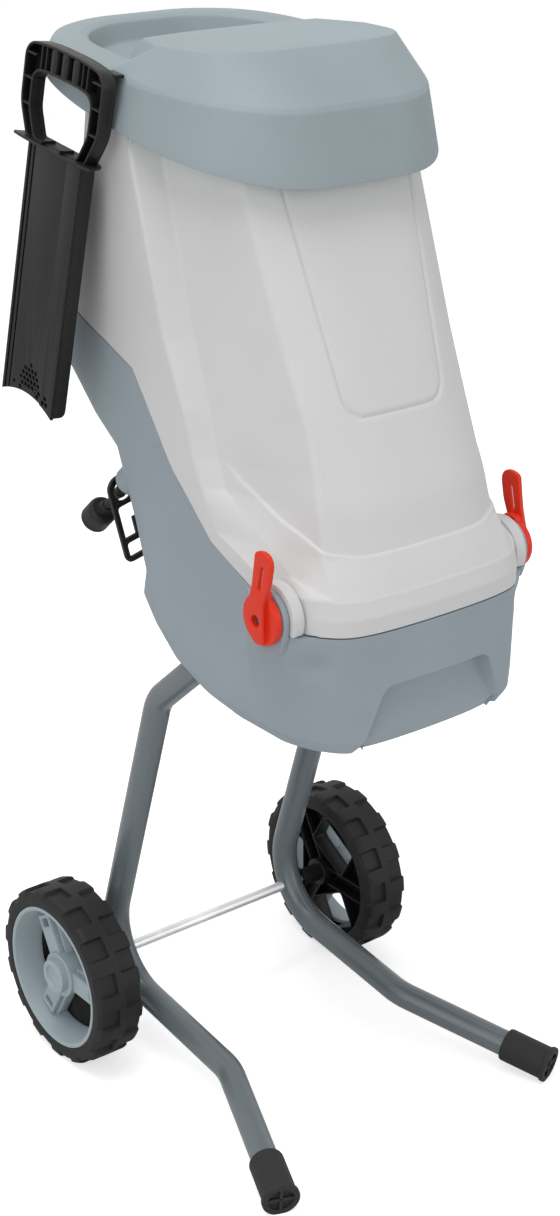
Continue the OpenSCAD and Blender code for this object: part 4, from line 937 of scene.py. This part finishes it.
LEVER_IN, HUB_OUT, LEVER_OUT = 133.5, 140.5, 145.0
SLOT_HIGH, SLOT_LOW, SLOT_HALF = np.array([-10, 49.5]), np.array([-5, 27.5]), 1.8
LEAN = {"right": -1, "left": 1}
lever_edge = outline([
    [-10, -17.5], [-4, -19.5], [2, -18.5], [8, -12.5], [12.5, -3], [12, 6], [8, 18], [4, 32], [0.8, 53],
    [0, 59.5], [-6, 62], [-13, 62.3], [-19, 59.5], [-21.4, 53.4], [-19.2, 42], [-17.4, 34], [-13, 24],
    [-10.2, 18],
], 4, 4)
lever_foot = outline([
    [-10, -17], [-4, -19], [2, -18], [8, -12], [12, -3], [11.5, 6], [8, 17], [5, 26], [-9, 26], [-10, 18],
], 4, 4)
slot_along = unit(SLOT_LOW - SLOT_HIGH)
slot_half = SLOT_HALF * np.array([-slot_along[1], slot_along[0]])
lever_slot = outline([
    SLOT_HIGH - slot_half, SLOT_LOW - slot_half, SLOT_LOW + slot_half, SLOT_HIGH + slot_half,
], 1.7, 5)
lever_bore = circle(LEVER_BORE)
lever_parts = [
    plate([lever_edge, lever_bore, lever_slot], LEVER_OUT - 4.2, LEVER_OUT, 1.0, 4),
    plate([lever_foot, lever_bore], LEVER_IN, LEVER_OUT - 3.8, 1.0, 4),
    plate([circle(22, 64), lever_bore], LEVER_IN, HUB_OUT, 1.3, 4),
]
for side, on_side in SIDES:
    lever_axes = IN_SIDE * [[1], [LEAN[side]], [1]]
    piece(f"lever_body_{side}", f"lever_{side}", RED,
          [on_side(put(p, lever_axes, (0, *PIVOT))) for p in lever_parts],
          [f"lever_{side}"], 45)

# Plunger, in its own frame: x through the blade, y across it, z up

PLUNGER_AXES = turned(1, 5.6) @ turned(0, 7.4)
PLUNGER_AT = np.array([-162.5, 88.0, 875.0])
BLADE_W, BLADE_LEN, BLADE_DEPTH, SKIN, BLADE_TOP, WEB_BACK = 79.0, 219.0, 15.0, 3.0, 0.5, 2.6
GRIP_MIDDLE = np.array([0, 38.0])
GRIP_WALL, GRIP_FACE, GRIP_BACK, THIN_RIB = 2.2, 13, 10.3, 0.9
# The slats over the hand's opening: their places across the grip and their half widths
SLATS = ((-34, THIN_RIB), (-27, THIN_RIB), (-16, 5), (0, 5), (16, 5), (27, THIN_RIB), (34, THIN_RIB))


def honeycomb(middle, reach, size=5.4):
    """Hexagonal pits, each a ring of six points, on a staggered grid about a place, smaller further out."""
    i, j = np.meshgrid(np.arange(-6, 7), np.arange(-6, 7), indexing="ij")
    at = np.stack([(i + 0.5 * (j % 2)) * size, j * size * 0.87], -1).reshape(-1, 2)
    far = np.linalg.norm(at / np.array(reach), axis=1)
    a = angles(6) + np.pi / 6
    hexagon = np.stack([np.cos(a), np.sin(a)], -1)
    near = zip(at[far < 1], far[far < 1])
    return [np.array(middle) + p + hexagon * size * (0.47 - 0.1 * d) for p, d in near]


def blade_low(y):
    """The blade's lower edge, hollowed by a parabola."""
    return 9 * (1 - (y / (BLADE_W / 2)) ** 2) - BLADE_LEN


def blade_face(y0, y1, low, high=WEB_BACK, holes=()):
    """A part of the blade's web between two sides, its lower edge following the hollow, with the holes that
    lie clear of its edges."""
    y = np.linspace(y0, y1, 25)
    ring = np.concatenate([np.stack([y, blade_low(y)], -1), [[y1, BLADE_TOP], [y0, BLADE_TOP]]])
    clear = [
        (h[:, 0] > y0 + 0.8) & (h[:, 0] < y1 - 0.8) & (h[:, 1] > blade_low(h[:, 0]) + 1) for h in holes
    ]
    kept = [h for h, is_clear in zip(holes, clear) if np.all(is_clear)]
    return put(plate([ring] + kept, low, high, 0.4, 2), IN_SIDE)


def blade():
    """The blade: a web in two flats, pits at its lower edge, a groove by its outer side and two flanges."""
    w = BLADE_W / 2
    pits = honeycomb((-1, -203), (15, 20))
    pits += honeycomb((w - 9, -211), (9, 11)) + honeycomb((-w + 20, -209), (14, 9))
    faces = [
        blade_face(-w, w, 2.4, 3.4),
        blade_face(-w + 19, w - 11, 0.9, holes=pits),
        blade_face(-w, -w + 19.6, 0.2, holes=pits),
        blade_face(w - 8.4, w - 4.4, 1.2, holes=pits),
        blade_face(w - 3.2, w, 0.4),
    ]
    flange = rectangle(1.2, BLADE_DEPTH, 1 - BLADE_LEN, BLADE_TOP, [1, 6, 1, 1], 5)
    across = np.array([[1, 0, 0], [0, 0, 1], [0, 1, 0]], float)
    return faces + [put(plate([flange], y, y + SKIN, 0.6), across) for y in (-w, w - SKIN)]


def grown(ring, d):
    """An outline of the grip moved outwards by d, square to itself."""
    t = unit(np.roll(ring, -1, axis=0) - np.roll(ring, 1, axis=0))
    n = np.stack([t[:, 1], -t[:, 0]], -1)
    n *= np.sign(np.sum(n * (ring - GRIP_MIDDLE), -1, keepdims=True))
    return ring + d * n


def grip():
    """The grip: a face with the hand's opening, a wall round its rim and one round the opening, slats above
    the opening and ribs on both sides of it."""
    rim = outline([
        [-44, 0], [44, 0], [58, 27], [58, 70], [50, 78], [24, 81], [-24, 81], [-50, 78], [-58, 70],
        [-58, 27],
    ], [4, 4, 8, 6, 6, 14, 14, 6, 6, 8], 6)
    hand = outline([
        [-32, 3], [32, 3], [43, 25], [43, 50], [37, 56], [20, 58], [-20, 58], [-37, 56], [-43, 50],
        [-43, 25],
    ], [3, 3, 5, 4, 4, 10, 10, 4, 4, 5], 6)
    face = plate([rim, hand], 10, GRIP_FACE, 0.6)
    walls = [
        plate([rim, grown(rim, -GRIP_WALL)], 0, GRIP_BACK, 0.6),
        plate([grown(hand, GRIP_WALL), hand], 0, GRIP_BACK, 0.6),
    ]
    slats = [
        block(y - half, y + half, 57.2, 79.5 - abs(y) / 30, 0.6, GRIP_BACK, 0.5 if half < 1 else 2.5)
        for y, half in SLATS
    ]
    side_ribs = [
        block(y, y + 15, z - THIN_RIB, z + THIN_RIB, 0.4, GRIP_BACK, 0.4)
        for y in (-57, 42) for z in (27, 48, 68)
    ]
    return [put(p, IN_SIDE) for p in (face, *walls, *slats, *side_ribs)]


guard = plate([outline([
    [-4, -58], [13, -52], [16, -44], [16, 44], [13, 52], [-4, 58], [-6, 40], [-6, -40],
], [3, 6, 6, 6, 6, 3, 20, 20], 5)], 0, 2.4, 0.8)
guard_ribs = [block(-4.5, 10, y - THIN_RIB, y + THIN_RIB, 2, 5, 0.4) for y in (-14, 14)]
lips = [block(12, 22, y, y + 16, 73.6, 76.8, 1.0) for y in (-54, 14)]
plunger_parts = [*grip(), guard, *guard_ribs, *lips, *blade()]
piece("plunger_body", "plunger", BLACK, [put(p, PLUNGER_AXES, PLUNGER_AT) for p in plunger_parts],
      ["plunger"], 35)

# Cord hook, a flat part that hangs from the gland

HOOK_AT = (GLAND[0], 97, 568.5)
HOOK_COS, HOOK_SIN = math.cos(math.radians(14)), math.sin(math.radians(14))
hook_ring = outline([
    [-15, 6], [-15, -70], [15, -70], [15, 6], [11.5, 11.5], [6, 15], [-6, 15], [-11.5, 11.5],
], [5, 8, 8, 5, 4, 5, 5, 4], 6)
hook_eye = outline([
    [-10, -46], [2, -46], [2, -29], [9, -29], [9, -46], [10, -46], [10, -14], [-10, -14],
], [2, 0.5, 1, 1, 0.3, 0.3, 3, 3], 4)
hook = plate([hook_ring, circle(10, 48), hook_eye, rectangle(-10, 10, -65, -51, 3, 5)], 0, 4, 0.7)
hook_axes = np.array([[HOOK_COS, -HOOK_SIN, 0], [0, 0, -1], [HOOK_SIN, HOOK_COS, 0]])
piece("cord_hook_plate", "cord_hook", BLACK, [put(hook, hook_axes, HOOK_AT)],
      ["cord_hook"], 45)

# CAD nodes that keep their shape, by finish

KEPT = {
    BLACK: ["base_plate", "chip_deflector", "brush_holders", "cooling_fan", "switch_box", "reset_button",
            "interlock_switch", "spacer_bushes", "feed_chute"],
    GREEN: ["start_button"],
    STOP_RED: ["stop_button"],
    BRIGHT: ["axle"],
    STEEL: ["base_screws", "motor_plate", "plate_screws", "upper_bearing", "lower_bearing", "rotor_shaft",
            "knife_a", "knife_b", "knife_screws", "disc_bolt", "plug_pins", "leg_screws", "axle_nuts",
            "hinge_pins", "lever_bolt_left", "lever_bolt_right"],
    DARK_STEEL: ["motor_can", "rotor_core", "knife_disc"],
    ALLOY: ["end_shield"],
    COPPER: ["stator", "commutator"],
}
for finish, names in KEPT.items():
    for name in names:
        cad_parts[name].data.materials.clear()
        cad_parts[name].data.materials.append(finish)

# Floor, light and background

FLOOR_HALF = 14
WHITE, NO_LIGHT = (1, 1, 1, 1), (0, 0, 0, 1)
LIT_POINT = np.array([0, 0, 0.5])


def any_ray(start, *kinds):
    """1 for a ray of one of the kinds that Light Path knows, and 0 for others."""
    rays = [start.node("ShaderNodeLightPath", {}, {}, f"Is {kind} Ray") for kind in kinds]
    shown = rays[0]
    for ray in rays[1:]:
        shown = shown.math("MAXIMUM", shown, ray)
    return shown


floor_mesh = bpy.data.meshes.new("floor")
floor_corners = [(u * FLOOR_HALF, v * FLOOR_HALF, 0) for u, v in ((-1, -1), (1, -1), (1, 1), (-1, 1))]
floor_mesh.from_pydata(floor_corners, [], [(0, 1, 2, 3)])
floor = bpy.data.objects.new("floor", floor_mesh)
bpy.context.scene.collection.objects.link(floor)
# The floor's added white is for rays from the camera and through glass, and the world's for mirrors too
floor_fixed = {"Roughness": 0.9, "Specular IOR Level": 0.0, "Emission Strength": 0.6}
floor_finish, floor_shader, at = new_finish("pale floor", floor_fixed)
feed(floor_shader, Base_Color=mixed(noise(at, 0.6), (0.86, 0.86, 0.86, 1), (0.9, 0.9, 0.9, 1)),
     Emission_Color=mixed(any_ray(at, "Camera", "Transmission"), NO_LIGHT, WHITE))
floor_mesh.materials.append(floor_finish)

world = bpy.data.worlds.new("studio")
bpy.context.scene.world = world
world.use_nodes = True
sky = world.node_tree.nodes["Background"]
sky.inputs["Color"].default_value = WHITE
feed(sky, Strength=0.44 + 0.56 * any_ray(Shade(world.node_tree), "Camera", "Glossy", "Transmission"))


def lamp(name, place, size, power):
    """A square soft light that faces the middle of the machine."""
    made = bpy.data.objects.new(name, bpy.data.lights.new(name, "AREA"))
    made.data.size, made.data.energy = size, power
    set_up(made, place, unit(np.array(place) - LIT_POINT))


lamp("top light", (-0.8, -0.2, 3.6), 2.2, 58)
lamp("key light", (-3.2, -1.4, 1.7), 2.8, 29)
lamp("fill light", (1.8, -3.2, 1.2), 2.6, 22)
bpy.context.scene.view_settings.view_transform = "Standard"
